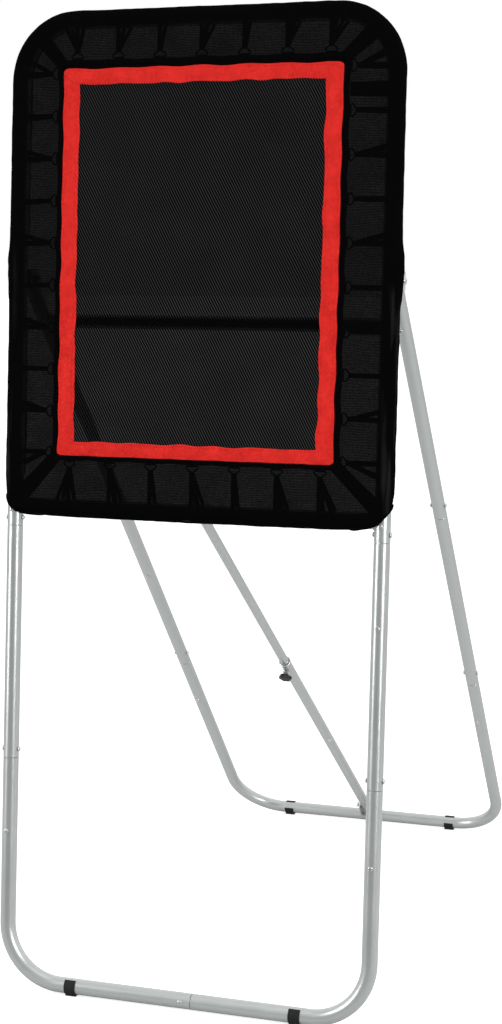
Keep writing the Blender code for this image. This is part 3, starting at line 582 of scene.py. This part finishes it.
def rear_tubes():
    low_seam, high_seam = REAR_SEAMS
    for label, side in SIDES:
        def spot(up):
            return Vector((side * rear_x(up), up))
        steel_tube("rear_leg_top_" + label, (spot(high_seam + HALF_GAP), spot(REAR_LEG_TOP)),
                   "rear_frame", "rear_upper_leg_" + label)
        steel_tube("rear_leg_" + label, (spot(low_seam + HALF_GAP), spot(high_seam - HALF_GAP)),
                   "rear_frame", "rear_mid_leg_" + label)
        line = rounded_line((spot(low_seam - HALF_GAP), spot(0.0), (side * HALF_GAP, 0.0)),
                            REAR_BEND_R)
        steel_tube("rear_foot_" + label, line, "rear_frame", "rear_foot_bend_" + label)
    reach = rear_x(CROSSBAR_UP) - REAR_R * 0.75
    steel_tube("rear_bar", ((-reach, CROSSBAR_UP), (reach, CROSSBAR_UP)), "rear_frame",
               "rear_crossbar")


def weld_bead(build, x, z, tube_r, side, seed):
    """A lumpy bead round the end of a bar that meets a tube of its own size square on."""
    bead_r, proud = 0.0017, 0.0006
    inward = Vector((-side, 0.0, 0.0))
    rings = []
    for angle in angles(72):
        depth = tube_r * sin(angle)
        out = sqrt(max(tube_r ** 2 - depth ** 2, 0.0))
        lump = bead_r * (1.0 + 0.22 * sin(11 * angle + seed) + 0.12 * sin(23 * angle))
        spot = Vector((x - side * (out + proud), depth, z + tube_r * cos(angle)))
        radial = Vector((0.0, sin(angle), cos(angle)))
        rings.append(circle(spot, radial, inward, lump, 8))
    build.skin(rings, closed=True)


def welds():
    for name, body, x, z in (("rail_welds", "front_frame", HALF_WIDTH, RAIL_UP),
                             ("crossbar_welds", "rear_frame", rear_x(CROSSBAR_UP), CROSSBAR_UP)):
        build = Build()
        for _, side in SIDES:
            weld_bead(build, side * x, z, TUBES[body][0], side, 1.7 * side)
        build.finish(name, "silver_steel", body)


# -------- fasteners
def pan_head(build, spot, axis, radius):
    """A low domed head with a cross recess; axis points out of the surface."""
    axis = Vector(axis).normalized()
    first = axis.orthogonal().normalized()
    second = axis.cross(first)
    height = radius * HEAD_RISE
    rings = []
    shares = (1.0, 1.0, 0.96, 0.86, 0.72, 0.58, 0.44, 0.30, 0.16, 0.05)
    heights = (0.0, 0.40, 0.62, 0.82, 0.92, 0.97, 1.0, 1.0, 1.0, 1.0)
    for share, level in zip(shares, heights):
        ring = []
        for angle in angles(28):
            flat = (first * cos(angle) + second * sin(angle)) * radius * share
            arm = min(abs(sin(angle)), abs(cos(angle))) * share
            cut = 0.45 if arm < 0.10 and share < 0.60 else 0.0
            ring.append(Vector(spot) + flat + axis * height * (level - cut))
        rings.append(ring)
    build.skin(rings)


def cross_bolt(name, node, body, head_r, shank_r, end=None):
    """A finer bolt where a CAD bolt lies along X, its head on the outer side. Its end is a
    hex "nut", a low "cap" nut, or bare."""
    build = Build()
    low, high = extent(node, PLANES[body])
    spot = (low + high) / 2
    side = 1.0 if spot.x >= 0 else -1.0
    outer, inner = (high.x, low.x) if side > 0 else (low.x, high.x)
    base = Vector((outer - side * head_r * HEAD_RISE, spot.y, spot.z))
    out = Vector((side, 0.0, 0.0))
    pan_head(build, base, out, head_r)
    grip = abs(base.x - inner)
    turned(build, [(0.0, shank_r), (grip - shank_r * 0.3, shank_r), (grip, shank_r * 0.75)],
           base, -out, 20)
    if end == "cap":
        profile = [(0.0, 0.0042), (0.0011, 0.0043), (0.0015, 0.0041), (0.0022, 0.0036),
                   (0.0027, 0.0027), (0.0030, 0.0014)]
        turned(build, profile, (inner + side * 0.0030, spot.y, spot.z), -out, 28)
    if end == "nut":
        thick = shank_r * 1.6
        base.x = inner + side * (shank_r + thick)
        hex_nut(build, base, -out, head_r * 1.05, thick, shank_r)
    build.finish(name, "zinc", body, node)


def hex_nut(build, base, axis, radius, thick, bore):
    chamfer = radius * 0.10
    profile = [(0.0, bore), (0.0, radius - chamfer, True), (chamfer, radius, True),
               (thick - chamfer, radius, True), (thick, radius - chamfer, True), (thick, bore)]
    turned(build, profile, base, axis, 48, hexagon, hollow=True)


def bolts():
    """Seam bolts, pivot bolts with their nuts, and the strut's foot bolt."""
    for end in ("front", "rear"):
        for level in ("upper", "lower"):
            for label, _ in SIDES:
                cross_bolt(f"{end}_{level}_seam_bolt_{label}", f"{end}_{level}_bolt_{label}",
                           end + "_frame", 0.0044, 0.0025, "cap")
    for label, side in SIDES:
        cross_bolt("pivot_pin_" + label, "pivot_bolt_" + label, "rear_frame", 0.0070, 0.0040)
        low, high = extent("pivot_nut_" + label, REAR)
        base = (low + high) / 2
        base.x = high.x if side > 0 else low.x
        build = Build()
        hex_nut(build, base, (-side, 0.0, 0.0), 0.0072, high.x - low.x, 0.0043)
        build.finish("pivot_locknut_" + label, "zinc", "rear_frame", "pivot_nut_" + label)
    cross_bolt("strut_foot_pin", "strut_foot_bolt", "rear_frame", 0.0055, 0.0030, "nut")


def screws():
    """Short self-tapping screws in the fronts of the tubes."""
    build = Build()
    for x, up in ((-HALF_WIDTH, 0.262), (HALF_WIDTH, 0.262), (HALF_WIDTH, 0.656),
                  (-HALF_WIDTH, 0.822), (HALF_WIDTH, 0.822), (FLOOR_SEAM - 0.018, 0.0)):
        pan_head(build, (x, -FRONT_R + SUNK, up), FORWARD, SCREW_R)
    build.finish("front_screws", "zinc", "front_frame")
    build = Build()
    for side, up in ((-1, 0.407), (1, 0.407), (-1, 0.817)):
        pan_head(build, (side * rear_x(up), -REAR_R + SUNK, up), FORWARD, SCREW_R)
    build.finish("rear_screws", "zinc", "rear_frame")
    build = Build()
    way = Vector((0.63, -0.78, 0.0)).normalized()
    pan_head(build, way * (STRUT_OUTER_R - SUNK) + Vector((0.0, 0.0, 0.380)), way, SCREW_R)
    build.finish("strut_screw", "zinc", "strut_outer")


# -------- strut
def strut():
    """The two telescoping tubes, the ring at the end of the outer one, and the clamp."""
    outer_top = extent("strut_outer_tube", STRUT)[1].z
    inner_low = extent("strut_inner_tube", STRUT)[0].z
    steel_tube("strut_lower_tube", ((0.0, -STRUT_OUTER_R * 0.9), (0.0, outer_top)),
               "strut_outer", "strut_outer_tube")
    steel_tube("strut_upper_tube", ((0.0, inner_low), (0.0, STRUT_LENGTH + STRUT_INNER_R * 0.9)),
               "strut_inner", "strut_inner_tube")

    rim = STRUT_OUTER_R + 0.0012
    skirt, bore = STRUT_OUTER_R + 0.0002, STRUT_INNER_R + 0.0003
    build = Build()
    profile = [(-0.0022, skirt), (-0.0022, rim - 0.0003), (-0.0019, rim), (0.0010, rim),
               (0.0017, rim - 0.0004), (0.0020, rim - 0.0010), (0.0020, bore + 0.0003),
               (0.0017, bore), (0.0002, bore), (0.0002, skirt)]
    turned(build, profile, (0.0, 0.0, outer_top), (0.0, 0.0, 1.0), 48, hollow=True)
    build.finish("strut_end_ring", "zinc", "strut_outer", "strut_collar")
    clamp()


def clamp():
    """Lobed knob on a threaded stud, and the nut that is welded to the tube."""
    knob_low, knob_high = extent("clamp_knob", STRUT)
    height = (knob_low.z + knob_high.z) / 2
    knob_r, thick = 0.0118, knob_high.y - knob_low.y

    def lobes(angle):
        return 1.0 + 0.10 * cos(6 * angle)
    profile = [(0.0, 0.0030), (0.0, 0.0058), (0.0003, 0.0064), (0.0015, 0.0066),
               (0.0020, 0.0088, True), (0.0026, knob_r - 0.0008, True), (0.0036, knob_r, True),
               (thick - 0.0028, knob_r, True), (thick - 0.0014, knob_r - 0.0007, True),
               (thick - 0.0004, knob_r - 0.0024, True), (thick - 0.0004, 0.0060),
               (thick - 0.0012, 0.0054), (thick - 0.0012, 0.0010)]
    build = Build()
    turned(build, profile, (0.0, knob_high.y, height), FORWARD, 96, lobes,
           side_way=(1.0, 0.0, 0.0))
    build.finish("clamp_star_knob", "black_plastic", "clamp", "clamp_knob")

    low, high = extent("clamp_stud", STRUT)
    start, end = -high.y, -low.y
    pitch, core, crest = 0.0010, 0.0025, 0.0029
    threads = [(start, core * 0.8)]
    for index in range(int((end - start) / pitch)):
        base = start + 0.0002 + index * pitch
        threads += [(base, core), (base + pitch * 0.45, crest)]
    threads.append((end, core))
    build = Build()
    turned(build, threads, (0.0, 0.0, height), FORWARD, 20)
    build.finish("clamp_screw", "zinc", "clamp", "clamp_stud")

    low, high = extent("clamp_nut", STRUT)
    build = Build()
    hex_nut(build, (0.0, high.y, height), FORWARD, 0.0072, high.y - low.y, 0.0032)
    build.finish("clamp_weld_nut", "zinc", "strut_outer", "clamp_nut")


# -------- panel outlines
SIDE_COUNTS = (90, 120)      # points along a straight run, across and up


def outline(half, low, high, top_r, foot_r):
    """Points and outward directions clockwise round a rounded rectangle, from the left end
    of its top left corner. Every outline has as many points, in the same order."""
    corners = ((-1, 1, top_r, 180.0), (1, 1, top_r, 90.0), (1, -1, foot_r, 0.0),
               (-1, -1, foot_r, -90.0))
    arcs = []
    for side, level, radius, start in corners:
        hub = Vector((side * (half - radius), high - radius if level > 0 else low + radius))
        arc = []
        for step in range(CORNER_STEPS + 1):
            angle = radians(start - 90.0 * step / CORNER_STEPS)
            out = Vector((cos(angle), sin(angle)))
            arc.append((hub + out * radius, out))
        arcs.append(arc)
    stations = []
    for index, arc in enumerate(arcs):
        stations += arc
        start, end = arc[-1][0], arcs[(index + 1) % 4][0][0]
        steps = SIDE_COUNTS[index % 2]
        stations += [(start.lerp(end, step / steps), arc[-1][1]) for step in range(1, steps)]
    return stations


def ring_places():
    """Each V-ring's foot on the mat's edge, its outward way, the edge's name and the ring's
    number along it."""
    places = []
    for label, level, edge in (("top", 1, BIND_HIGH.z), ("bottom", -1, BIND_LOW.z)):
        for index in range(RINGS_ACROSS):
            x = (index - (RINGS_ACROSS - 1) / 2) * RING_PITCH_ACROSS
            places.append((Vector((x, edge)), Vector((0.0, level)), label, index))
    for label, side in SIDES:
        for index in range(RINGS_UP):
            z = MAT_MIDDLE + (index - (RINGS_UP - 1) / 2) * RING_PITCH_UP - RING_DROP
            places.append((Vector((side * BIND_HALF, z)), Vector((side, 0.0)), label, index))
    return places


def pull(spot, out):
    """How far the mat's edge is drawn out at a place, from -1 to 1: most at a ring."""
    if abs(out.x) > abs(out.y):
        phase = (spot.y - MAT_MIDDLE + RING_DROP) / RING_PITCH_UP + 0.5
    else:
        phase = spot.x / RING_PITCH_ACROSS
    return cos(2 * pi * phase)


# -------- mat
def mat_depth(x, z):
    """The mat's depth: flat in the middle, with slight ripples near its drawn edge."""
    margin = min(MAT_HIGH.x - abs(x), MAT_HIGH.z - z, z - MAT_LOW.z)
    edge = exp(-max(margin, 0.0) / 0.030)
    return MAT_OFF + 0.0009 * ripple((x, z), 0.16, 2.0) + 0.0004 * edge * ripple((x, z), 0.03, 5.0)


def mat_sheet():
    columns, rows = 110, 150
    across = [MAT_LOW.x + (MAT_HIGH.x - MAT_LOW.x) * step / columns for step in range(columns + 1)]
    up = [MAT_LOW.z + (MAT_HIGH.z - MAT_LOW.z) * step / rows for step in range(rows + 1)]
    grid = [[Vector((x, mat_depth(x, z), z)) for x in across] for z in up]
    build = Build()
    build.skin(grid, wrap=False, runs=[[(spot.x, spot.z, 0.0) for spot in line] for line in grid])
    return build.finish("mat_sheet", "mat_mesh", "front_frame", "target_mat")


def band(build, inner, outer, section):
    """A closed band between two outlines. Its section is (share from inner to outer, depth)."""
    rings, runs = [], []
    for start, end, gone in zip(inner, outer, distances(outer)):
        flats = [start.lerp(end, share) for share, _ in section]
        rings.append([at_depth(flat, depth) for flat, (_, depth) in zip(flats, section)])
        runs.append([(gone, share * (end - start).length, 0.0) for share, _ in section])
    build.skin(rings, closed=True, runs=runs)


def sewn_tape(tape, thread, slot, node, lines, section, seams, depth):
    """A tape between two lines, and its rows of stitches as a piece of their own."""
    build = Build()
    band(build, *lines, section)
    piece = build.finish(tape, slot, "front_frame", node, sharp=60.0)
    build = Build()
    for share in seams:
        stitches(build, *lines, share, depth)
    return piece, build.finish(thread, slot, "front_frame")


def border_lines():
    """The red webbing's inner and outer edges, both a little wavy."""
    outer = outline(RED_HIGH.x, RED_LOW.z, RED_HIGH.z, 0.008, 0.008)
    inner = outline(RED_HIGH.x - RED_SIDE_IN, RED_LOW.z + RED_FOOT_IN, RED_HIGH.z - RED_TOP_IN,
                    0.0006, 0.0006)
    outer_line, inner_line = [], []
    for (out_spot, out), (in_spot, _) in zip(outer, inner):
        sway = 0.0018 * ripple(out_spot, 0.055, 3.0) + 0.0009 * pull(out_spot, out)
        outer_line.append(out_spot + out * sway)
        scallop = 0.0028 * ripple(in_spot, 0.034, 9.0) + 0.0007 * pull(in_spot, out)
        inner_line.append(in_spot + out * scallop)
    return inner_line, outer_line


def border():
    """Red webbing sewn to the mat's face, mitred at the corners, with two rows of stitches."""
    face = MAT_LOW.y - 0.0006
    front = face - RED_THICK
    section = [(0.0, face - 0.3 * RED_THICK), (0.02, front), (0.12, front - 0.00012),
               (0.16, front + 0.00025), (0.20, front - 0.00012), (0.5, front - 0.0003),
               (0.80, front - 0.00012), (0.84, front + 0.00025), (0.88, front - 0.00012),
               (0.98, front), (1.0, face - 0.3 * RED_THICK), (0.98, face), (0.5, face),
               (0.02, face)]
    return sewn_tape("border_webbing", "border_stitches", "red_webbing", "strike_zone_border",
                     border_lines(), section, (0.16, 0.84), front + 0.0001)


def stitches(build, inner, outer, share, depth):
    """Short raised stitches along a line at a share of the way between two outlines."""
    line = [start.lerp(end, share) for start, end in zip(inner, outer)]
    travelled, next_stitch = 0.0, 0.0
    for start, end in zip(line, line[1:] + line[:1]):
        step = (end - start).length
        if step < 1e-6:
            continue
        way = (end - start) / step
        side = Vector((-way.y, way.x))
        while next_stitch < travelled + step:
            spot = start + way * (next_stitch - travelled)
            rings = []
            for at, swell in ((-0.5, 0.25), (-0.36, 0.85), (0.0, 1.0), (0.36, 0.85), (0.5, 0.25)):
                hub = spot + way * STITCH_LENGTH * at
                raised = depth - STITCH_R * 0.6 * (1.0 - (2 * at) ** 2)
                rings.append([Vector((hub.x + side.x * STITCH_R * swell * cos(turn),
                                      raised + STITCH_R * swell * sin(turn),
                                      hub.y + side.y * STITCH_R * swell * cos(turn)))
                              for turn in angles(6)])
            build.skin(rings)
            next_stitch += STITCH_PITCH
        travelled += step


def binding():
    """Black webbing folded over the mat's edge; its back leg is the wider one."""
    outer_line, inner_line = [], []
    for spot, out in outline(BIND_HALF, BIND_LOW.z, BIND_HIGH.z, 0.007, 0.007):
        outer_line.append(spot + out * (0.0009 * pull(spot, out) - 0.0006))
    for spot, out in outline(BIND_HALF - 0.024, BIND_LOW.z + 0.024, BIND_HIGH.z - 0.024,
                             0.0006, 0.0006):
        inner_line.append(spot + out * (0.0010 * ripple(spot, 0.05, 14.0)))
    front, back = MAT_OFF - 0.0016, MAT_OFF + 0.0017
    section = [(0.40, MAT_OFF - 0.0008), (0.42, front), (0.70, front - 0.0002), (0.92, front),
               (0.98, MAT_OFF - 0.0009), (1.0, MAT_OFF), (0.98, MAT_OFF + 0.0010), (0.92, back),
               (0.60, back + 0.0001), (0.30, back), (0.06, back), (0.0, MAT_OFF + 0.0013),
               (0.02, MAT_OFF + 0.0010), (0.40, MAT_OFF + 0.0008)]
    return sewn_tape("edge_binding", "binding_stitches", "black_webbing", "mat_binding",
                     (inner_line, outer_line), section, (0.10, 0.88), back + 0.0001)


def v_rings():
    build = Build()
    for foot, out, _, _ in ring_places():
        sunk = 0.0012
        corners = [foot + right_of(out) * across + out * reach for across, reach in (
            (-RING_HALF, sunk), (0.0, RING_REACH), (RING_HALF, sunk))]
        flat = []
        for index, radius in enumerate((0.0030, 0.0050, 0.0030)):
            flat += rounded_corner(corners[index - 1], corners[index], corners[(index + 1) % 3],
                                   radius, 7)
        wire(build, [at_depth(spot, MAT_OFF) for spot in flat], WIRE_R)
    return build.finish("v_rings", "black_plastic", "front_frame")


# -------- elastic and straps
def belt(near, near_r, far, far_r):
    """Flat points of a band round two circles, the far one first."""
    near_steps, far_steps = 6, 20
    gap = far - near
    heading = atan2(gap.y, gap.x)
    spread = acos((near_r - far_r) / gap.length)
    points = []
    for step in range(far_steps + 1):
        angle = heading - spread + 2 * spread * step / far_steps
        points.append(far + Vector((cos(angle), sin(angle))) * far_r)
    for step in range(near_steps + 1):
        angle = heading + spread + (2 * pi - 2 * spread) * step / near_steps
        points.append(near + Vector((cos(angle), sin(angle))) * near_r)
    return points


def loop_strap(build, foot, out, near_out, near_r, far_out, width, lean=0.0):
    """An elastic band from beside the mat's edge round the frame tube. Distances out are
    from the foot; lean is how far its tube end lies along the tube."""
    along = right_of(out)
    points = []
    for spot in belt(Vector((near_out, MAT_OFF)), near_r, Vector((far_out, 0.0)),
                     FRONT_R + STRAP_THICK * 0.7):
        share = min(max((spot.x - near_out) / (far_out - near_out), 0.0), 1.1)
        points.append(at_depth(foot + out * spot.x + along * (lean * share), spot.y))
    ribbon(build, points, at_depth(along, 0.0), width, STRAP_THICK)


def tube_distance(foot, out):
    """From a place on the mat's edge out to the centre line of the frame."""
    if out.x:
        return HALF_WIDTH - abs(foot.x)
    return FRAME_TOP - foot.y if out.y > 0 else foot.y - RAIL_UP


def bend_drop(place, out):
    """How much nearer the bent top corners bring the tube than its straight line would be."""
    if out.x:
        past = place.y - (FRAME_TOP - TOP_BEND_R)
    else:
        past = abs(place.x) - (HALF_WIDTH - TOP_BEND_R) if out.y > 0 else 0.0
    if past <= 0.0:
        return 0.0
    past += STRAP_WIDTH / 2
    return TOP_BEND_R - sqrt(max(TOP_BEND_R ** 2 - past ** 2, 0.0))


def lean_of(label, index):
    """Sideways run of a ring's second strap, towards the corner at a side's ends."""
    count = RINGS_ACROSS if label in ("top", "bottom") else RINGS_UP
    toward_start = {"top": -1, "right": 1, "bottom": 1, "left": -1}[label]
    if index == 0:
        return 0.026 * toward_start
    if index == count - 1:
        return -0.026 * toward_start
    if index % 2 == 1:
        return 0.016 if label in ("top", "left") else -0.016
    return 0.0


def elastic():
    pieces = []
    for label in ("top", "bottom", "left", "right"):
        build = Build()
        for foot, out, edge, index in ring_places():
            if edge != label:
                continue
            far = tube_distance(foot, out)
            apex = RING_REACH - 0.0008
            loop_strap(build, foot, out, apex, WIRE_R + 0.0007, far - bend_drop(foot, out),
                       STRAP_WIDTH)
            lean = lean_of(label, index)
            if lean:
                end = foot + right_of(out) * lean
                loop_strap(build, foot, out, apex + 0.0006, WIRE_R + 0.0007,
                           far - bend_drop(end, out), STRAP_WIDTH * 0.9, lean)
        pieces.append(build.finish("elastic_" + label, "elastic", "front_frame",
                                   "elastic_straps_" + label))
    return pieces


def corner_straps():
    """Wide webbing from each corner of the mat to the frame's corner, and one tie on the
    right side."""
    build = Build()
    for side in (-1, 1):
        for level in (-1, 1):
            out = Vector((side, level)).normalized()
            edge = BIND_HIGH.z if level > 0 else BIND_LOW.z
            foot = Vector((side * BIND_HALF, edge)) - out * 0.010
            if level > 0:
                hub = Vector((side * (HALF_WIDTH - TOP_BEND_R), FRAME_TOP - TOP_BEND_R))
                far = (hub + out * TOP_BEND_R - foot).dot(out)
            else:
                far = (Vector((side * HALF_WIDTH, RAIL_UP)) - foot).dot(out) - 0.020
            loop_strap(build, foot, out, 0.0, 0.0022, far, CORNER_STRAP_WIDTH)
    foot, out = Vector((BIND_HALF, BIND_HIGH.z - 0.0595)), Vector((1.0, 0.0))
    loop_strap(build, foot, out, 0.002, 0.0020, tube_distance(foot, out), 0.0220)
    return build.finish("corner_straps", "black_webbing", "front_frame")


# -------- cover
def ramp(value, start, end):
    share = min(max((value - start) / (end - start), 0.0), 1.0)
    return share * share * (3 - 2 * share)


def corner_share(x, z):
    """1 at the bottom corners, falling to 0 a hand's width along the rail and the uprights."""
    return 1.0 - ramp(hypot(HALF_WIDTH - abs(x), (z - RAIL_UP) * 1.9), 0.018, 0.110)


def cover_wrap(x, z):
    """How far round the tube the cover reaches: less at the pivots and the strut, and half
    way where the uprights leave it."""
    full, beside_bracket = radians(205), radians(116)
    lip = radians(48 if x > 0 else 72)
    wrap = full
    if abs(x) > HALF_WIDTH - 0.001:
        wrap = beside_bracket + (full - beside_bracket) * ramp(abs(z - PIVOT.z), 0.030, 0.075)
    elif z < RAIL_UP + 0.001:
        wrap = beside_bracket + (full - beside_bracket) * ramp(abs(x), 0.020, 0.060)
    return wrap + (lip - wrap) * corner_share(x, z)


def cover_profile(edge, hub, out, wrap):
    """Spots (place in the panel's plane, depth) from the mat's edge, out and round."""
    spots = []
    start_depth = MAT_OFF - 0.0031
    radius = COVER_R + (FRONT_R + 0.0016 - COVER_R) * corner_share(hub.x, hub.y)
    for step in range(COVER_FLAT_STEPS):
        share = step / COVER_FLAT_STEPS
        depth = start_depth + (-radius - start_depth) * share
        spots.append([edge.lerp(hub, share), depth, share * 0.5])
    for step in range(COVER_ARC_STEPS + 1):
        share = step / COVER_ARC_STEPS
        angle = wrap * share
        spots.append([hub + out * radius * sin(angle), -radius * cos(angle),
                      0.5 + 0.5 * share])
    return spots


def bulge(hub, out):
    """Extra reach of the cover over the pivot bolts, where the fabric is pushed out."""
    near = exp(-((hub.y - PIVOT.z - 0.020) / 0.050) ** 2)
    return 0.0075 * near * (1.0 if out.x > 0.7 else 0.5 if out.x < -0.7 else 0.0)


def steel_front(x, z):
    """How far in front of the uprights' middle plane a cloth over one, or over the bottom
    rail and its weld, has to stay."""
    reach = FRONT_R + 0.0020
    beside = min(abs(abs(x) - HALF_WIDTH),
                 abs(z - RAIL_UP) if abs(x) < HALF_WIDTH else reach)
    return sqrt(max(reach ** 2 - beside ** 2, 0.0))


def cover():
    """The see-through skirt: one sheet from the mat's edge that rolls round the tubes."""
    edges = outline(BIND_HALF - 0.0085, BIND_LOW.z + 0.0085, BIND_HIGH.z - 0.0085, 0.004, 0.004)
    hubs = outline(HALF_WIDTH, RAIL_UP, FRAME_TOP, TOP_BEND_R, COVER_FOOT_R)
    build = Build()
    rings, runs = [], []
    for (edge, _), (hub, out), gone in zip(edges, hubs, distances([hub for hub, _ in hubs])):
        ring, run = [], []
        for spot, depth, share in cover_profile(edge, hub, out, cover_wrap(hub.x, hub.y)):
            loose = max(share - 0.45, 0.0) / 0.55
            crumple = (0.0016 * ripple((gone, share * 0.11), 0.045, 21.0)
                       + 0.0011 * ripple((gone, share * 0.05), 0.014, 33.0))
            snug = corner_share(hub.x, hub.y) * 0.8
            if abs(out.x) > 0.7:
                beside_bar = 1.0 - ramp(abs(hub.y - FOLDED_BAR_UP), 0.012, 0.050)
                snug = max(snug, beside_bar * ramp(share, 0.75, 0.92))
            radial = Vector((spot.x - hub.x, spot.y - hub.y)).dot(out)
            away = Vector((radial, depth)).normalized() if share >= 0.5 else Vector((0.0, -1.0))
            pushed = bulge(hub, out) * (1.0 - ramp(away.y, -0.05, 0.55))
            proud = loose * ((0.0016 + crumple) * (1.0 - snug) + pushed)
            slack = 0.0004 * ripple((spot.x, spot.y), 0.035, 41.0) if share < 0.5 else 0.0
            flat = spot + out * away.x * proud
            depth += away.y * (proud + slack)
            if abs(hub.x) > HALF_WIDTH - 0.040 and hub.y < RAIL_UP + 0.040:
                depth = min(depth, -steel_front(flat.x, flat.y))
            ring.append(at_depth(flat, depth))
            run.append((gone, share, 0.0))
        rings.append(ring)
        runs.append(run)
    build.skin(rings, closed=True, wrap=False, runs=runs)
    sheet = build.finish("panel_cover", "cover_mesh", "front_frame", "mesh_cover", sharp=60.0)
    return sheet, cover_hems(rings), surface_area(rings)


def surface_area(rings):
    area = 0.0
    for ring, after in zip(rings, rings[1:] + rings[:1]):
        for side in range(len(ring) - 1):
            area += ((ring[side + 1] - ring[side]).cross(after[side] - ring[side])).length
    return area


def cover_hems(rings):
    """A rolled elastic hem along the cover's back edge, and the seam tape by the mat."""
    build = Build()
    for pick, inward, radius, sides in ((-1, -2, 0.0016, 8), (0, 1, 0.0007, 6)):
        line = [ring[pick] for ring in rings]
        loops = []
        for ring, point, way in zip(rings, line, tangents(line)):
            first = ring[inward] - point
            first = (first - way * first.dot(way)).normalized()
            loops.append(circle(point, first, way.cross(first), radius, sides))
        build.skin(loops, closed=True)
    return build.finish("cover_hem", "black_webbing", "front_frame")


# -------- foot clips
def foot_clip(name, node, body, outward, start, end):
    """A snap-on rubber foot about a floor tube, with soft rims, three grip grooves and a flat
    pad. Angles are in degrees from the bottom, growing towards the outer side."""
    low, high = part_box(node)
    hub = Vector(((low[0] + high[0]) / 2, PLANES[body].translation.y, FRONT.translation.z))
    inner_r, outer_r = TUBES[body][0] + 0.0001, TUBES[body][0] + 0.0020
    half, steps = (high[0] - low[0]) / 2, 72
    stations = ((-half, 0.0007), (-half + 0.0002, 0.0003), (-half + 0.0007, 0.0))
    for groove in (-0.30, 0.0, 0.30):
        spot = groove * 2 * half
        stations += ((spot - 0.0008, 0.0), (spot - 0.0003, 0.0004), (spot + 0.0003, 0.0004),
                     (spot + 0.0008, 0.0))
    stations += tuple((-x, cut) for x, cut in reversed(stations[:3]))
    rings = []
    for x, cut in stations:
        outer, inner = [], []
        middle_spot = hub + Vector((x, 0.0, 0.0))
        for step in range(steps + 1):
            share = step / steps
            angle = radians(start + (end - start) * share)
            taper = min(share, 1.0 - share) * (end - start) / 6.0
            rim = 0.0007 * (1.0 - sqrt(max(1.0 - (1.0 - min(taper, 1.0)) ** 2, 0.0)))
            reach = outer_r
            if abs(angle) < radians(28):
                reach = min(hub.z / cos(angle), outer_r + 0.0024)
            reach -= min(cut, reach - inner_r - 0.0005) + rim
            way = Vector((0.0, outward * sin(angle), -cos(angle)))
            outer.append(middle_spot + way * reach)
            inner.append(middle_spot + way * (inner_r + rim * 0.6))
        rings.append(outer + inner[::-1])
    build = Build()
    build.skin(rings)
    build.finish(name, "rubber", body, node, plane=Matrix.Identity(4))


def foot_clips():
    for end, outward, first, last in (("front", -1, -100, 152), ("rear", 1, -92, 192)):
        for label, _ in SIDES:
            foot_clip(f"{end}_rubber_foot_{label}", f"{end}_foot_clip_{label}", end + "_frame",
                      outward, first, last)


# -------- carried-over CAD nodes
def carry_over():
    """Better materials and soft edges for the CAD nodes that stay."""
    finishes = {"silver_steel": ("sleeve", "bracket"), "zinc": ("bolt", "nut")}
    for name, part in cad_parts.items():
        for slot, words in finishes.items():
            if any(word in name for word in words):
                for place in part.material_slots:
                    place.material = MATERIALS[slot]
        if "bracket" in name:
            soft = part.modifiers.new("Soft edges", "BEVEL")
            soft.width, soft.segments = 0.0005, 2
            soft.limit_method, soft.angle_limit = "ANGLE", radians(50)


# -------- studio
def studio():
    """A white room that is a little brighter from behind, three softboxes and a pale floor."""
    scene = bpy.context.scene
    scene.view_settings.view_transform = "Standard"
    world = bpy.data.worlds.new("studio")
    scene.world = world
    world.use_nodes = True
    world.node_tree.nodes.clear()
    sky = Nodes(world.node_tree)
    fade = sky.range(sky.split(sky.node("TexCoord").outputs["Generated"])[1], -0.9, 0.5, 0.45, 1.12)
    lit = sky.node("Background", {"Color": WHITE, "Strength": fade}).outputs[0]
    seen = sky.node("Background", {"Color": WHITE}).outputs[0]
    rays = sky.node("LightPath").outputs["Is Camera Ray"]
    chosen = sky.node("MixShader", {0: rays, 1: lit, 2: seen}).outputs[0]
    sky.node("OutputWorld", {"Surface": chosen})

    softbox("left_softbox", (-2.9, -2.9, 1.55), (0.8, 2.5), 74.0)
    softbox("right_softbox", (2.9, -2.45, 1.60), (0.7, 2.4), 66.0)
    softbox("top_softbox", (0.2, -1.6, 4.2), (3.0, 3.0), 18.0)

    bpy.ops.mesh.primitive_plane_add(size=80.0)
    floor = bpy.context.object
    floor.name = "studio_floor"
    pale = Shader("studio_floor", Roughness=0.9, Specular_IOR_Level=0.0, Emission_Color=WHITE)
    back = pale.range(pale.split(pale.place())[1], -1.05, -0.45)
    pale.tint(back, grey(0.30), grey(0.72))
    seen = pale.node("LightPath").outputs["Is Camera Ray"]
    pale.link(pale.times(seen, pale.range(back, 0.0, 1.0, 0.88, 0.64)), "Emission Strength")
    floor.data.materials.append(pale.material)


def softbox(name, place, size, power):
    """A rectangular lamp that faces the net's middle."""
    data = bpy.data.lights.new(name, "AREA")
    data.shape = "RECTANGLE"
    data.size, data.size_y = size
    data.energy = power
    lamp = in_scene(name, data)
    lamp.location = place
    target = Vector((0.0, -0.3, 0.9))
    lamp.rotation_euler = (target - Vector(place)).to_track_quat("-Z", "Y").to_euler()


def camera():
    data = bpy.data.cameras.new("camera")
    data.sensor_width = 36.0
    data.lens = 70.49
    view = in_scene("camera", data)
    view.location = (1.1729, -3.6336, 1.2954)
    view.rotation_euler = (pi / 2 - 0.135, 0.0, 0.3316)
    bpy.context.scene.camera = view


# -------- assembly
camera()
studio()
front_tubes()
rear_tubes()
welds()
bolts()
screws()
strut()
foot_clips()
mat = mat_sheet()
red_tape, red_thread = border()
edge_tape, edge_thread = binding()
rings = v_rings()
bands = elastic()
straps = corner_straps()
skirt, hem, skirt_area = cover()
carry_over()
